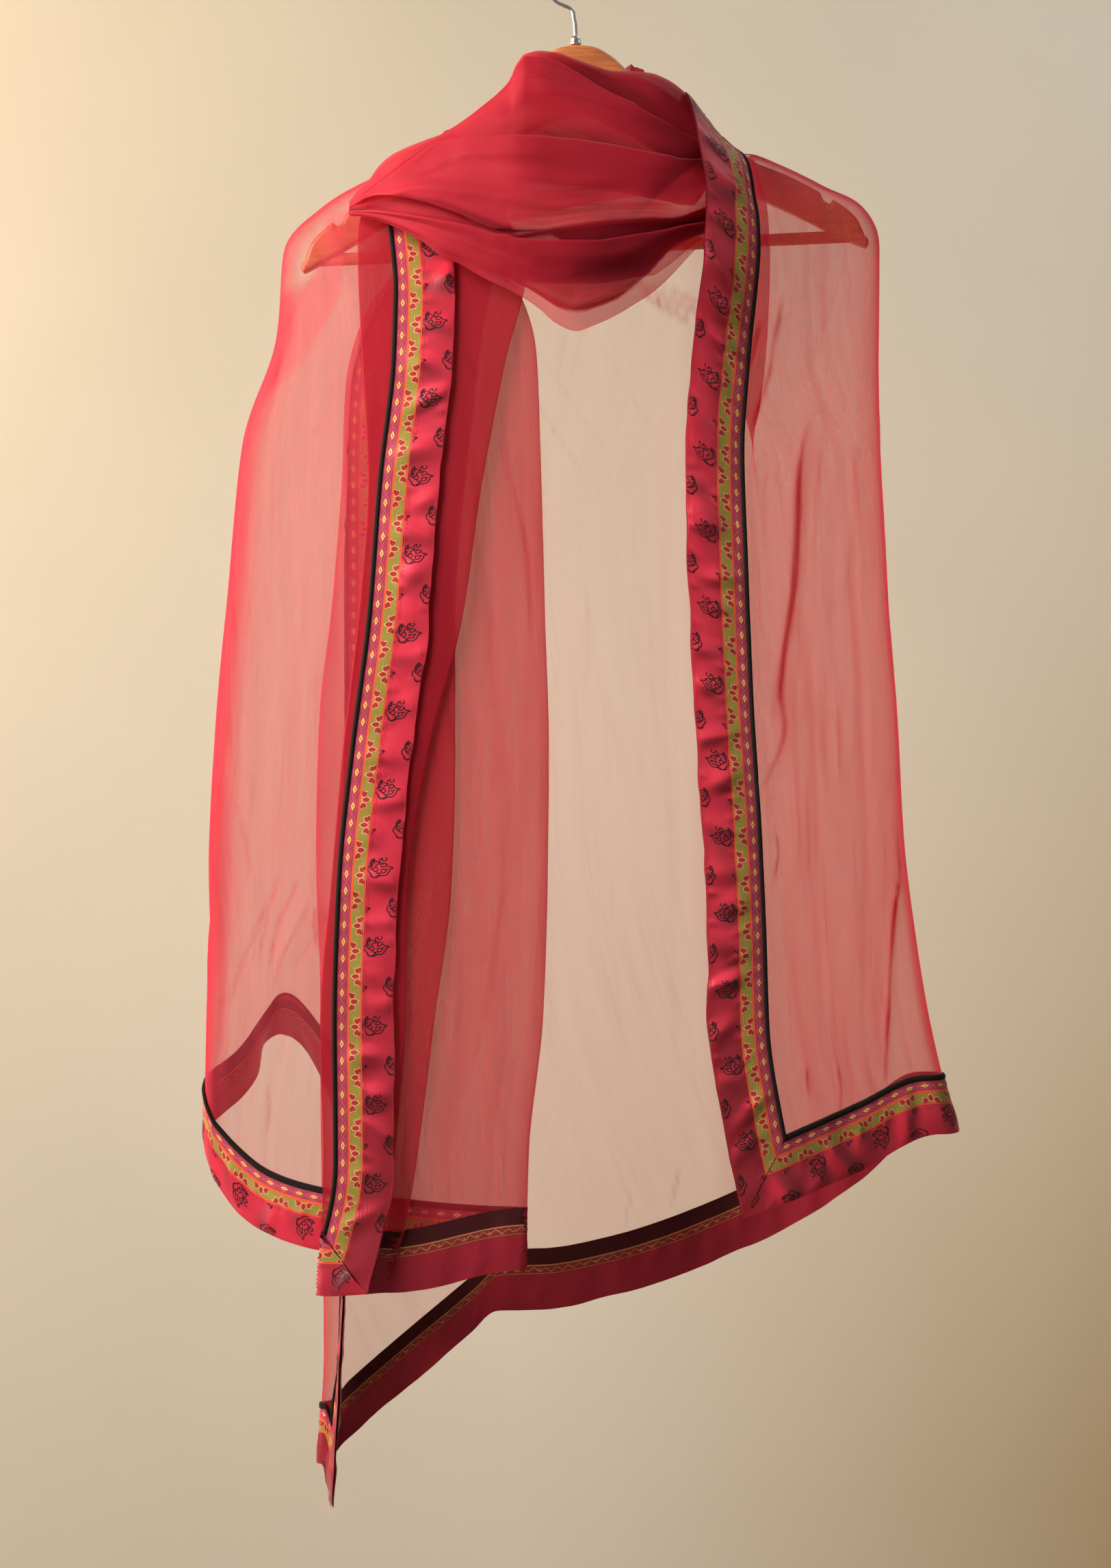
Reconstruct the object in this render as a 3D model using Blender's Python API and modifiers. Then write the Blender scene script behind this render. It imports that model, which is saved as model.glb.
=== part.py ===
"""Dupatta stole, wound once round a wooden hanger.

A rectangle of sheer crinkled silk with a printed and satin border round all
four edges.  Frame: X to the wearer-side right, Y away from the front, Z up,
origin on the inside top of the wire hook.  Tables are in millimetres; MM turns
them into metres.
"""
import math

import bmesh
import bpy
import numpy as np

MM = 0.001

# ---------------------------------------------------------------- dimensions
CLOTH_WALL = 1.4        # sheer cloth
BAND_WALL = 1.0         # border pieces lying on the cloth
GAP = 0.3               # clearance between pieces
LIFT_GAP = 0.5          # clearance of the border above the cloth, more where it twists
SATIN_W = 24.0          # outermost band
TAPE_W = 19.5           # printed tape: flowers and diamonds
PIPING_W = 3.0          # dark piping next to the sheer field
BORDER = (0.0, SATIN_W, SATIN_W + TAPE_W, SATIN_W + TAPE_W + PIPING_W)

HANGER_THICK = 14.0
HANGER_ROLL = math.radians(2.6)
NECK_TOP = (1.6, -73.0)   # x, z of the top of the wooden neck
ARM_FOLD_R = 10.5         # radius of the cloth where it goes round an arm
HOOK_WIRE_D = 3.2
HOOK_R = 21.0             # inside radius of the hook
FERRULE_D, FERRULE_H = 9.0, 7.0
BAR_D = 9.5
BAR_DROP = -155.0         # below the neck top, before the roll
BAR_HALF = 204.0

# outline of half the hanger below its neck top: x, top z, bottom z
ARM = [
    # x,     top,    bottom
    (0.0,    0.0,    -54.0),
    (13.0,   -2.0,   -56.0),
    (27.0,   -10.0,  -60.0),
    (41.0,   -24.0,  -66.0),
    (75.0,   -55.5,  -86.0),
    (132.0,  -95.5,  -122.0),
    (159.0,  -108.0, -136.0),
    (182.0,  -121.5, -148.5),
    (198.0,  -132.0, -157.0),
    (209.0,  -143.5, -162.5),
    (214.0,  -156.0, -164.5),
]
NOTCH = (182.0, 189.5, 5.0)   # strap notch: from x, to x, depth

# Right end.  One row for each weft line from the neck to the hem.
# F front long edge, R fold over the arm and down from its tip, C and T points
# of the back panel, B fold at its far side, E the other long edge.
RIGHT_COLS = "Fx Fy Fz Rx Ry Rz Rr Cx Cy Cz Tx Ty Tz Bx By Bz Ex Ey Ez"
RIGHT = [
    (80, -24, -112,  108, 0, -137, 10.5,   50, 15, -141,   -8, 20, -140,   -56, 26, -139,   -3, 17, -142),
    (85, -56, -124,  114, 0, -145, 10.5,   50, 16, -150,  -16, 22, -149,   -70, 28, -148,  -18, 19, -152),
    (92, -70, -154,  136, 0, -156, 10.5,   55, 17, -172,  -34, 24, -176,   -96, 31, -181,  -44, 22, -184),
    (99, -80, -201,  192, 0, -181, 10.5,   80, 18, -208,  -44, 26, -219,  -130, 34, -232,  -78, 25, -234),
    (98, -79, -224,  222, 0, -197.5, 11.0,   86, 19, -230,  -50, 28, -241,  -148, 36, -254,  -96, 27, -255),
    (97, -78, -247,  233.5, 0, -223, 11.0,   90, 20, -252,  -54, 29, -264,  -162, 37, -276, -110, 28, -277),
    (89, -66, -307,  233, 2, -299, 11.5,   90, 22, -310,  -60, 32, -322,  -176, 40, -329, -124, 31, -330),
    (83, -57, -382,  235, 4, -392, 12.0,   90, 26, -396,  -60, 36, -400,  -177, 44, -402, -125, 35, -403),
    (86, -52, -485,  240, 6, -490, 12.0,   92, 30, -492,  -60, 40, -495,  -187, 48, -497, -135, 39, -498),
    (90, -50, -577,  248, 8, -584, 12.5,   95, 34, -588,  -60, 44, -590,  -197, 52, -592, -145, 43, -593),
    (96, -50, -669,  253, 10, -679, 13.0,  98, 40, -684,  -60, 49, -687,  -199, 56, -690, -147, 46, -690),
    (99, -50, -741,  261, 12, -746, 13.0, 102, 46, -760,  -58, 53, -768,  -197, 60, -776, -149, 46, -776),
    (101, -50, -818, 272, 14, -816, 13.5, 110, 53, -842,  -56, 58, -858,  -196, 65, -882, -152, 35, -880),
    (113, -50, -900, 284, 16, -868, 14.0, 118, 61, -932,  -52, 64, -968,  -196, 70, -1062, -162, 29, -1056),
    (127, -49, -963, 294, 18, -904, 14.0, 121, 68, -1004, -50, 68, -1052, -197, 72, -1158, -177, 22, -1186),
]

# Left end.  F front long edge, A front fold, D fold at the right, M a point of
# the layer going back to the outer fold L, N and E the layer behind it.
LEFT_COLS = "Fx Fy Fz Ax Dx Dz Mx Mz Lx Ly Lz Lr Nx Nz Ex Ey Ez yf pitch"
LEFT = [
    (-98, -25, -196, -152, -101, -192, -112, -178, -118, 0, -157, 10.5, -92, -154, -52, 12, -160, -25, 5.2),
    (-94, -30, -212, -163, -97, -208, -126, -192, -140, 0, -168, 10.5, -112, -165, -76, 13, -172, -30, 5.4),
    (-91, -35, -238, -163, -66, -230, -140, -214, -184, 0, -191, 10.5, -142, -188, -106, 14, -198, -35, 5.6),
    (-89, -42, -264, -162, -44, -258, -156, -244, -221, 0, -229, 10.5, -162, -228, -126, 14, -238, -42, 6.0),
    (-90, -52, -315, -159, -28, -310, -160, -300, -226, -3, -292, 10.0, -176, -296, -140, 14, -302, -52, 6.6),
    (-100, -58, -408, -154, -24, -403, -150, -392, -252, -7, -378, 9.0, -186, -384, -150, 12, -390, -58, 7.4),
    (-108, -61, -511, -161, -21, -507, -146, -496, -262, -9, -484, 9.0, -190, -488, -152, 11, -492, -61, 7.6),
    (-121, -62, -613, -173, -18, -609, -152, -600, -272, -10, -592, 9.0, -194, -590, -155, 10, -592, -62, 7.8),
    (-131, -63, -715, -182, -19, -711, -160, -702, -277, -10, -700, 9.0, -198, -676, -155, 10, -684, -63, 8.0),
    (-134, -64, -817, -190, -23, -812, -166, -802, -279, -10, -788, 9.0, -210, -742, -152, 10, -768, -64, 8.0),
    (-133, -66, -920, -188, -34, -910, -176, -896, -279, -10, -848, 9.0, -222, -786, -150, 10, -848, -64, 8.0),
    (-144, -71, -1018, -193, -36, -1001, -188, -980, -280, -11, -912, 9.0, -224, -826, -146, 10, -930, -64, 8.0),
]

# Gathered stretch across the front.  One row for each section along X.
# a top edge, b c d e the pleat lines below it, f the bottom of the pouch;
# yf how far the pleats stand forward, yb where the roll ends behind.
COWL_COLS = "x a b c d e f yf yb"
COWL = [
    (-171, -189, -190, -192, -194, -196, -198, -40, -34),
    (-162, -184, -187, -190, -193, -199, -202, -48, -36),
    (-130, -157, -164, -174, -187, -205, -211, -62, -38),
    (-83,  -137, -142, -152, -201, -214, -238, -74, -42),
    (-48,  -102, -108, -149, -212, -217, -253, -80, -44),
    (-19,  -82,  -95,  -149, -210, -220, -280, -82, -42),
    (11,   -91,  -105, -152, -206, -222, -287, -80, -38),
    (40,   -98,  -124, -155, -200, -217, -273, -74, -34),
    (69,   -110, -144, -159, -197, -211, -243, -64, -30),
    (90,   -146, -156, -164, -195, -206, -219, -54, -28),
    (100,  -168, -174, -180, -192, -200, -208, -47, -28),
]

# Stretch behind the neck: inner edge and outer edge of each section.
WRAP_COLS = "ix iy iz ox oy oz"
WRAP = [
    (42, -16, -104,   78, -18, -136),
    (44, 0, -87,      84, 0, -120),
    (42, 10, -87,     86, 14, -125),
    (36, 18, -90,     88, 36, -146),
    (22, 24, -88,     58, 50, -178),
    (0, 27, -87,      0, 54, -186),
    (-24, 28, -92,    -66, 54, -190),
    (-46, 22, -100,   -118, 46, -192),
    (-54, 0, -103,    -140, 1, -160),
    (-56, -15, -110,  -144, -15, -168),
]
WRAP_PLEATS, WRAP_PLEAT_DEPTH = 3, 5.0

SHOULDER = 0.19              # share of a fall's length that lies over the hanger
FLAT_STEP, FOLD_STEPS = 42.0, 5.0   # facet width on flat cloth; facets round a fold


# ------------------------------------------------------------------- numerics
def columns(names, rows):
    """The table's columns by name."""
    data = np.array(rows, dtype=float)
    return {n: data[:, i] for i, n in enumerate(names.split())}


def hermite(t, v, q):
    """Monotone cubic through (t, v), read at q; v may have several columns."""
    t, v, q = np.asarray(t, float), np.asarray(v, float), np.asarray(q, float)
    if v.ndim == 1:
        v = v[:, None]
        return hermite(t, v, q)[:, 0]
    h = np.diff(t)
    s = np.diff(v, axis=0) / h[:, None]
    m = np.zeros_like(v)
    m[0], m[-1] = s[0], s[-1]
    for i in range(1, len(t) - 1):
        w1, w2 = 2 * h[i] + h[i - 1], h[i] + 2 * h[i - 1]
        same = s[i - 1] * s[i] > 0
        with np.errstate(divide="ignore", invalid="ignore"):
            m[i] = np.where(same, (w1 + w2) / (w1 / s[i - 1] + w2 / s[i]), 0.0)
    k = np.clip(np.searchsorted(t, q, side="right") - 1, 0, len(t) - 2)
    u = ((q - t[k]) / h[k])[:, None]
    hk = h[k][:, None]
    return ((1 + 2 * u) * (1 - u) ** 2 * v[k] + u * (1 - u) ** 2 * hk * m[k]
            + u * u * (3 - 2 * u) * v[k + 1] + u * u * (u - 1) * hk * m[k + 1])


def read_table(names, rows, t):
    """Each column of the table at t, where t runs 0..1 over the rows' spacing."""
    data = np.array(rows, dtype=float)
    names = names.split()
    step = np.abs(np.diff(data, axis=0)).mean(axis=1) + 1.0
    at = np.concatenate([[0.0], np.cumsum(step)])
    out = hermite(at / at[-1], data, np.atleast_1d(t))
    return [dict(zip(names, r)) for r in out]


def fold_arc(x, y, z, r, side, n=4):
    """Points of a fold that turns at x: side +1 opens to -X, -1 opens to +X.
    r is half the distance between the two layers; y runs from y-r to y+r."""
    pts = []
    for k in range(n + 1):
        a = -math.pi / 2 + math.pi * k / n
        pts.append((x - side * r + side * r * math.cos(a), y + r * math.sin(a), z))
    return pts


def through(points, counts):
    """Resample a polyline: counts[i] steps between points i and i+1."""
    p = np.array(points, dtype=float)
    t = np.concatenate([[0.0], np.cumsum(np.linalg.norm(np.diff(p, axis=0), axis=1))])
    q = [t[0]]
    for i, c in enumerate(counts):
        q.extend(t[i] + (t[i + 1] - t[i]) * (k + 1) / c for k in range(c))
    return hermite(t, p, np.array(q))


def right_section(r):
    """Weft line of the right end, from the front long edge to the back one."""
    ctl = [(r["Fx"], r["Fy"], r["Fz"])]
    ctl += fold_arc(r["Rx"], r["Ry"], r["Rz"], r["Rr"], 1)
    ctl += [(r["Cx"], r["Cy"], r["Cz"]), (r["Tx"], r["Ty"], r["Tz"])]
    ctl += fold_arc(r["Bx"], r["By"] - 3.0, r["Bz"], 3.0, -1)[::-1]
    ctl.append((r["Ex"], r["Ey"], r["Ez"]))
    return ctl


def left_section(r):
    """Weft line of the left end: four layers from the front edge to the back."""
    y0, y1 = r["yf"], r["yf"] + 4.0
    y2 = y1 + r["pitch"]
    ctl = [(r["Fx"], r["Fy"], r["Fz"])]
    ctl += fold_arc(r["Ax"], (y0 + y1) / 2, r["Fz"], 2.0, -1)
    ctl += fold_arc(r["Dx"], (y1 + y2) / 2, r["Dz"], r["pitch"] / 2, 1)
    ym = y2 + (r["Ly"] - r["Lr"] - y2) * 0.45
    ctl.append((r["Mx"], ym, r["Mz"]))
    ctl += fold_arc(r["Lx"], r["Ly"], r["Lz"], r["Lr"], -1)
    ctl.append((r["Nx"], (r["Ly"] + r["Lr"]) * 0.4 + r["Ey"] * 0.6, r["Nz"]))
    ctl.append((r["Ex"], r["Ey"], r["Ez"]))
    return ctl


def line_lengths(line):
    return np.concatenate([[0.0], np.cumsum(np.linalg.norm(np.diff(line, axis=0), axis=1))])


def body_columns(line, t, lo, hi, steps):
    """Column positions between the two borders, close together at the folds."""
    d = np.diff(line, axis=0)
    d /= np.linalg.norm(d, axis=1)[:, None] + 1e-9
    turn = np.zeros(len(t))
    turn[1:-1] = np.arccos(np.clip((d[1:] * d[:-1]).sum(axis=1), -1, 1))
    weight = np.cumsum(np.diff(t, prepend=t[0]) / FLAT_STEP + turn * FOLD_STEPS / math.pi)
    w0, w1 = np.interp([lo, hi], t, weight)
    return np.interp(np.linspace(w0, w1, steps + 1)[1:-1], weight, t)


def fall_grid(names, rows, section, steps, shoulder_rows, body_rows):
    """Grid of points [row][column] with lines at the border's own widths.

    Columns start and end with the border widths along the weft; the last rows
    are at the border widths above the hem, measured along the warp."""
    border = np.array(BORDER)
    grid = []
    for rec in read_table(names, rows, np.linspace(0.0, 1.0, 40)):
        ctl = section(rec)
        line = through(ctl, [6] * (len(ctl) - 1))
        t = line_lengths(line)
        lo, hi = border[-1], t[-1] - border[-1]
        cols = np.concatenate([border, body_columns(line, t, lo, hi, steps), t[-1] - border[::-1]])
        grid.append(np.stack([np.interp(cols, t, line[:, i]) for i in range(3)], axis=1))
    grid = np.array(grid)                       # [row, column, 3]
    out = []
    for c in range(grid.shape[1]):
        down = line_lengths(grid[:, c])
        rows_at = np.concatenate([np.linspace(0.0, SHOULDER, shoulder_rows, endpoint=False),
                                  np.linspace(SHOULDER, 1.0, body_rows)])
        stops = np.concatenate([rows_at * (down[-1] - border[-1]), down[-1] - border[::-1][1:]])
        out.append(np.stack([np.interp(stops, down, grid[:, c, i]) for i in range(3)], axis=1))
    return np.array(out).transpose(1, 0, 2)


def tangents(g, axis):
    """Mean of the two unit edge directions at each point along an axis."""
    d = np.diff(g, axis=axis)
    d = d / (np.linalg.norm(d, axis=2)[:, :, None] + 1e-12)
    first, last = np.take(d, [0], axis=axis), np.take(d, [-1], axis=axis)
    return np.concatenate([first, d], axis=axis) + np.concatenate([d, last], axis=axis)


def grid_normals(g):
    """Unit normals of the grid, on the left of its columns' direction."""
    n = np.cross(tangents(g, 1), tangents(g, 0))
    return n / (np.linalg.norm(n, axis=2)[:, :, None] + 1e-12)


# -------------------------------------------------------------------- objects
def clear():
    for ob in list(bpy.data.objects):
        bpy.data.objects.remove(ob, do_unlink=True)


clear()
scene = bpy.context.scene
parts = bpy.data.collections.new("dupatta_stole")
cutters = bpy.data.collections.new("cutters")
scene.collection.children.link(parts)
scene.collection.children.link(cutters)


def material(name, colour, rough, metal=0.0):
    m = bpy.data.materials.new(name)
    m.use_nodes = True
    b = m.node_tree.nodes["Principled BSDF"]
    b.inputs["Base Color"].default_value = (*colour, 1.0)
    b.inputs["Roughness"].default_value = rough
    b.inputs["Metallic"].default_value = metal
    return m


def mesh_object(name, verts, faces, mat, wall=None, collection=parts):
    used = sorted({i for f in faces for i in f})
    new = {old: i for i, old in enumerate(used)}
    me = bpy.data.meshes.new(name)
    me.from_pydata([tuple(float(c) * MM for c in verts[i]) for i in used], [],
                   [[new[i] for i in f] for f in faces])
    ob = bpy.data.objects.new(name, me)
    collection.objects.link(ob)
    me.materials.append(mat)
    if wall:
        mod = ob.modifiers.new("wall", "SOLIDIFY")
        mod.thickness = wall * MM
        mod.offset = 0.0
        mod.use_even_offset = False
        mod.use_quality_normals = True
    me.shade_smooth()
    me.set_sharp_from_angle(angle=math.radians(40))
    return ob


def grid_faces(n_rows, n_cols, corner=0):
    """Two triangles for each cell.  In the first corner of the cut end the
    cells are split the other way, along the mitre."""
    faces = []
    for r in range(n_rows - 1):
        for c in range(n_cols - 1):
            a, b = r * n_cols + c, r * n_cols + c + 1
            d, e = a + n_cols, b + n_cols
            if r >= n_rows - 1 - corner and c < corner:
                faces += [(a, b, d), (b, e, d)]
            else:
                faces += [(a, b, e), (a, e, d)]
    return faces


def sheet(name, g, mat, corner=0):
    n, m = g.shape[:2]
    return mesh_object(name, g.reshape(-1, 3), grid_faces(n, m, corner), mat, wall=CLOTH_WALL)


def on_grid(g, nrm, row, col, lift):
    """Point of the grid at fractional row and column, moved out by lift."""
    r0 = int(min(max(math.floor(row), 0), g.shape[0] - 2))
    c0 = int(min(max(math.floor(col), 0), g.shape[1] - 2))
    fr, fc = row - r0, col - c0
    out = np.zeros(3)
    for dr, wr in ((0, 1 - fr), (1, fr)):
        for dc, wc in ((0, 1 - fc), (1, fc)):
            out += wr * wc * (g[r0 + dr, c0 + dc] + lift * nrm[r0 + dr, c0 + dc])
    return out


def index_of(width):
    """Fractional index of a distance from the edge among the border lines."""
    return float(np.interp(width, BORDER, (0, 1, 2, 3)))


def border_run(prefix, g, kind, mats, side=1.0):
    """Satin, printed tape and piping along one edge of a fall.

    kind 'first' and 'last' are the long edges (columns), 'hem' the cut end.
    Each piece follows the facets of the cloth and is mitred at the corners."""
    nrm = grid_normals(g) * side
    n, m = g.shape[:2]
    inset, mitre = GAP, GAP * 2.0
    for k, name in enumerate(("satin", "tape", "piping")):
        wall = BAND_WALL if name != "piping" else BAND_WALL + 0.6
        lift = CLOTH_WALL / 2 + LIFT_GAP + wall / 2
        rails = []
        for w in (BORDER[k] + inset, BORDER[k + 1] - inset):
            across, stop = index_of(w), index_of(w + mitre)
            if kind == "hem":
                cols = np.clip(np.arange(k, m - k), stop, (m - 1) - stop)
                rails.append([((n - 1) - across, c) for c in cols])
            else:
                col = across if kind == "first" else (m - 1) - across
                rails.append([(r, col) for r in np.minimum(np.arange(1, n - k), (n - 1) - stop)])
        count = len(rails[0])
        verts = [on_grid(g, nrm, r, c, lift) for rail in rails for r, c in rail]
        faces = []
        for i in range(count - 1):
            a, b, d, e = i, i + 1, count + i, count + i + 1
            whole = np.linalg.norm(verts[d] - verts[e]) > 0.01
            if not whole:
                faces.append((a, b, d) if i > 0 or kind != "hem" else (a, b, e))
            elif kind == "first":
                faces += [(a, b, e), (a, e, d)]
            else:
                faces += [(a, b, d), (b, e, d)]
        mesh_object(f"{prefix}_{name}", verts, faces, mats[name], wall=wall)


# ------------------------------------------------------------------ materials
silk = material("sheer_silk", (0.52, 0.045, 0.06), 0.62)
mats = {
    "satin": material("crimson_satin", (0.42, 0.02, 0.045), 0.36),
    "tape": material("printed_tape", (0.10, 0.17, 0.08), 0.6),
    "piping": material("dark_piping", (0.02, 0.012, 0.014), 0.55),
}
wood = material("honey_wood", (0.42, 0.17, 0.06), 0.45)
steel = material("hook_steel", (0.62, 0.60, 0.57), 0.3, 1.0)

# --------------------------------------------------------------------- hanger
def hanger_point(x, z):
    """From the hanger's own plane (below its neck top) to the row frame."""
    c, s = math.cos(HANGER_ROLL), math.sin(HANGER_ROLL)
    return NECK_TOP[0] + x * c - z * s, NECK_TOP[1] + x * s + z * c


def flat_outline(name, pts, half, mat, bevel):
    cu = bpy.data.curves.new(name, "CURVE")
    cu.dimensions = "2D"
    cu.fill_mode = "BOTH"
    cu.extrude = (half - bevel) * MM
    cu.bevel_depth = bevel * MM
    cu.bevel_resolution = 1
    cu.offset = -bevel * MM
    sp = cu.splines.new("POLY")
    sp.points.add(len(pts) - 1)
    for p, (x, z) in zip(sp.points, pts):
        p.co = (x * MM, z * MM, 0.0, 1.0)
    sp.use_cyclic_u = True
    tmp = bpy.data.objects.new(name + "_curve", cu)
    cutters.objects.link(tmp)
    tmp.rotation_euler = (math.radians(90), 0.0, 0.0)
    bpy.context.view_layer.update()
    dg = bpy.context.evaluated_depsgraph_get()
    me = bpy.data.meshes.new_from_object(tmp.evaluated_get(dg))
    me.name = name
    bm = bmesh.new()
    bm.from_mesh(me)
    bmesh.ops.remove_doubles(bm, verts=bm.verts[:], dist=0.00001)
    bmesh.ops.recalc_face_normals(bm, faces=bm.faces[:])
    bm.to_mesh(me)
    bm.free()
    ob = bpy.data.objects.new(name, me)
    ob.matrix_world = tmp.matrix_world.copy()
    parts.objects.link(ob)
    bpy.data.objects.remove(tmp, do_unlink=True)
    me.materials.clear()
    me.materials.append(mat)
    me.shade_smooth()
    me.set_sharp_from_angle(angle=math.radians(35))
    return ob


def half_outline():
    arm = np.array(ARM)
    xs = np.concatenate([np.linspace(0, 182, 12), [182.1, 189.4, 189.5], np.linspace(196, 214, 5)])
    top = hermite(arm[:, 0], arm[:, 1], xs)
    top = np.where((xs > NOTCH[0]) & (xs < NOTCH[1]), top - NOTCH[2], top)
    upper = list(zip(xs, top))
    xb = np.linspace(214, 0, 12)
    lower = list(zip(xb, hermite(arm[:, 0], arm[:, 2], xb)))
    return upper, lower


upper, lower = half_outline()
outline = upper + [(216.5, -161.0)] + lower
left_half = [(-x, z) for x, z in outline if x > 0.01][::-1]
outline = [hanger_point(x, z) for x, z in outline + left_half]
arms = flat_outline("hanger_arms", outline, HANGER_THICK / 2, wood, 2.2)

bar_a, bar_b = hanger_point(-BAR_HALF, BAR_DROP), hanger_point(BAR_HALF, BAR_DROP)


def rod(name, radius, half, mat, collection, segments=14):
    me = bpy.data.meshes.new(name)
    bm = bmesh.new()
    bmesh.ops.create_cone(bm, cap_ends=True, segments=segments, radius1=radius * MM,
                          radius2=radius * MM, depth=2 * half * MM)
    bm.to_mesh(me)
    bm.free()
    ob = bpy.data.objects.new(name, me)
    ob.location = ((bar_a[0] + bar_b[0]) / 2 * MM, 0.0, (bar_a[1] + bar_b[1]) / 2 * MM)
    ob.rotation_euler = (0.0, math.radians(90) - HANGER_ROLL, 0.0)
    collection.objects.link(ob)
    me.materials.append(mat)
    me.shade_smooth()
    me.set_sharp_from_angle(angle=math.radians(40))
    return ob


rod("hanger_bar", BAR_D / 2, BAR_HALF, wood, parts)
socket = rod("bar_socket_cut", BAR_D / 2 + GAP, BAR_HALF + GAP, wood, cutters, 14)
socket.hide_render = True
socket.display_type = "WIRE"
cut = arms.modifiers.new("bar_sockets", "BOOLEAN")
cut.operation = "DIFFERENCE"
cut.object = socket

# hook: stem out of the ferrule, then round an open circle
ferrule_base = hanger_point(0.0, 0.0)
me = bpy.data.meshes.new("hanger_ferrule")
bm = bmesh.new()
bmesh.ops.create_cone(bm, cap_ends=True, segments=16, radius1=FERRULE_D / 2 * MM,
                      radius2=FERRULE_D / 2 * 0.75 * MM, depth=FERRULE_H * MM)
bm.to_mesh(me)
bm.free()
ferrule = bpy.data.objects.new("hanger_ferrule", me)
parts.objects.link(ferrule)
ferrule.location = (ferrule_base[0] * MM, 0.0, (ferrule_base[1] + GAP + FERRULE_H / 2) * MM)
me.materials.append(steel)

wire_r = HOOK_WIRE_D / 2
centre_r = HOOK_R + wire_r
cz = -HOOK_R                                   # centre of the hook's circle
stem_bottom = ferrule_base[1] + 2 * GAP + FERRULE_H
path = [(ferrule_base[0], stem_bottom), (ferrule_base[0] - 0.3, stem_bottom + 8.0),
        (-0.5, cz - centre_r - 3.0)]
path += [
    (-centre_r * math.sin(math.radians(q)), cz - centre_r * math.cos(math.radians(q)))
    for q in range(24, 275, 14)]
cu = bpy.data.curves.new("hanger_hook", "CURVE")
cu.dimensions = "3D"
cu.bevel_depth = wire_r * MM
cu.bevel_resolution = 2
cu.use_fill_caps = True
sp = cu.splines.new("POLY")
sp.points.add(len(path) - 1)
for p, (x, z) in zip(sp.points, path):
    p.co = (x * MM, 0.0, z * MM, 1.0)
hook = bpy.data.objects.new("hanger_hook", cu)
parts.objects.link(hook)
cu.materials.append(steel)

# ---------------------------------------------------------------------- cloth
right = fall_grid(RIGHT_COLS, RIGHT, right_section, 24, 7, 10)
left = fall_grid(LEFT_COLS, LEFT, left_section, 34, 5, 9)
sheet("stole_right_end", right, silk, corner=3)
sheet("stole_left_end", left, silk, corner=3)
border_run("right_front_edge", right, "first", mats, side=-1.0)
border_run("right_back_edge", right, "last", mats, side=-1.0)
border_run("right_hem", right, "hem", mats, side=-1.0)
border_run("left_front_edge", left, "first", mats)
border_run("left_back_edge", left, "last", mats)
border_run("left_hem", left, "hem", mats)

# gathered stretch across the front
rows = []
for rec in read_table(COWL_COLS, COWL, np.linspace(0, 1, 15)):
    z = [rec[k] for k in "abcdef"]
    deep, front = rec["yb"], rec["yf"]
    span = front - deep
    ctl = [(rec["x"], deep + span * 0.05, z[0] - 2.0), (rec["x"], deep + span * 0.35, z[0])]
    lean = (0.60, 0.80, 0.92, 0.98, 0.86)
    dip = (0.0, 0.58, 0.72, 0.80, 0.74)
    for i in range(5):
        if i:
            ctl.append((rec["x"], deep + span * dip[i], z[i]))
        ctl.append((rec["x"], deep + span * lean[i], (z[i] * 0.5 + z[i + 1] * 0.5)))
    ctl += [(rec["x"], deep + span * 0.45, z[5]), (rec["x"], deep + span * 0.05, z[5] + 6.0),
            (rec["x"], deep, z[5] + min(30.0, (z[0] - z[5]) * 0.4))]
    rows.append(ctl)
sheet("stole_front_drape", np.array(rows), silk)

# stretch behind the neck
rows = []
for rec in read_table(WRAP_COLS, WRAP, np.linspace(0, 1, 15)):
    a = np.array([rec["ix"], rec["iy"], rec["iz"]])
    b = np.array([rec["ox"], rec["oy"], rec["oz"]])
    rows.append([a + (b - a) * s for s in np.linspace(0, 1, 2 * WRAP_PLEATS + 1)])
g = np.array(rows)
nrm = grid_normals(g)
for c in range(g.shape[1]):
    away = 1.0 if nrm[7, c][1] > 0 else -1.0
    g[:, c] += nrm[:, c] * away * (WRAP_PLEAT_DEPTH if c % 2 else 0.0)
sheet("stole_neck_wrap", g, silk)
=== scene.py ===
import math

import bmesh
import bpy
import numpy as np
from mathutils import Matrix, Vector


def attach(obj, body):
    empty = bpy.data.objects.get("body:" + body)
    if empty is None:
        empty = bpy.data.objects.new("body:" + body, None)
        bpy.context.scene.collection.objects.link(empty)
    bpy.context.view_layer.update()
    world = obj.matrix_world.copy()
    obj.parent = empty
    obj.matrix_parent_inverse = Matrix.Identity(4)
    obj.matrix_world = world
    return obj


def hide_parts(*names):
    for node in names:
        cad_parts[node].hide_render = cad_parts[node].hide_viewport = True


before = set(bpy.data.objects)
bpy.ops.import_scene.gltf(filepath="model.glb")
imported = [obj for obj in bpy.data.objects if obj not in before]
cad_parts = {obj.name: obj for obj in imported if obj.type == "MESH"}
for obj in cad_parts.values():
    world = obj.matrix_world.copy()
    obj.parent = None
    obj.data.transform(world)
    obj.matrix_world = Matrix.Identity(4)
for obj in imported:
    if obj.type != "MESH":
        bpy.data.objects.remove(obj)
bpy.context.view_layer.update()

MM = 0.001
rng = np.random.default_rng(7)

# ===================================================================== sizes
SATIN_W, TAPE_W, PIPING_W = 24.0, 19.5, 3.0
BORDER_W = SATIN_W + TAPE_W + PIPING_W
NECK_TOP = (1.6, -73.0)
HANGER_ROLL = math.radians(2.6)
HANGER_THICK = 14.0

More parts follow.
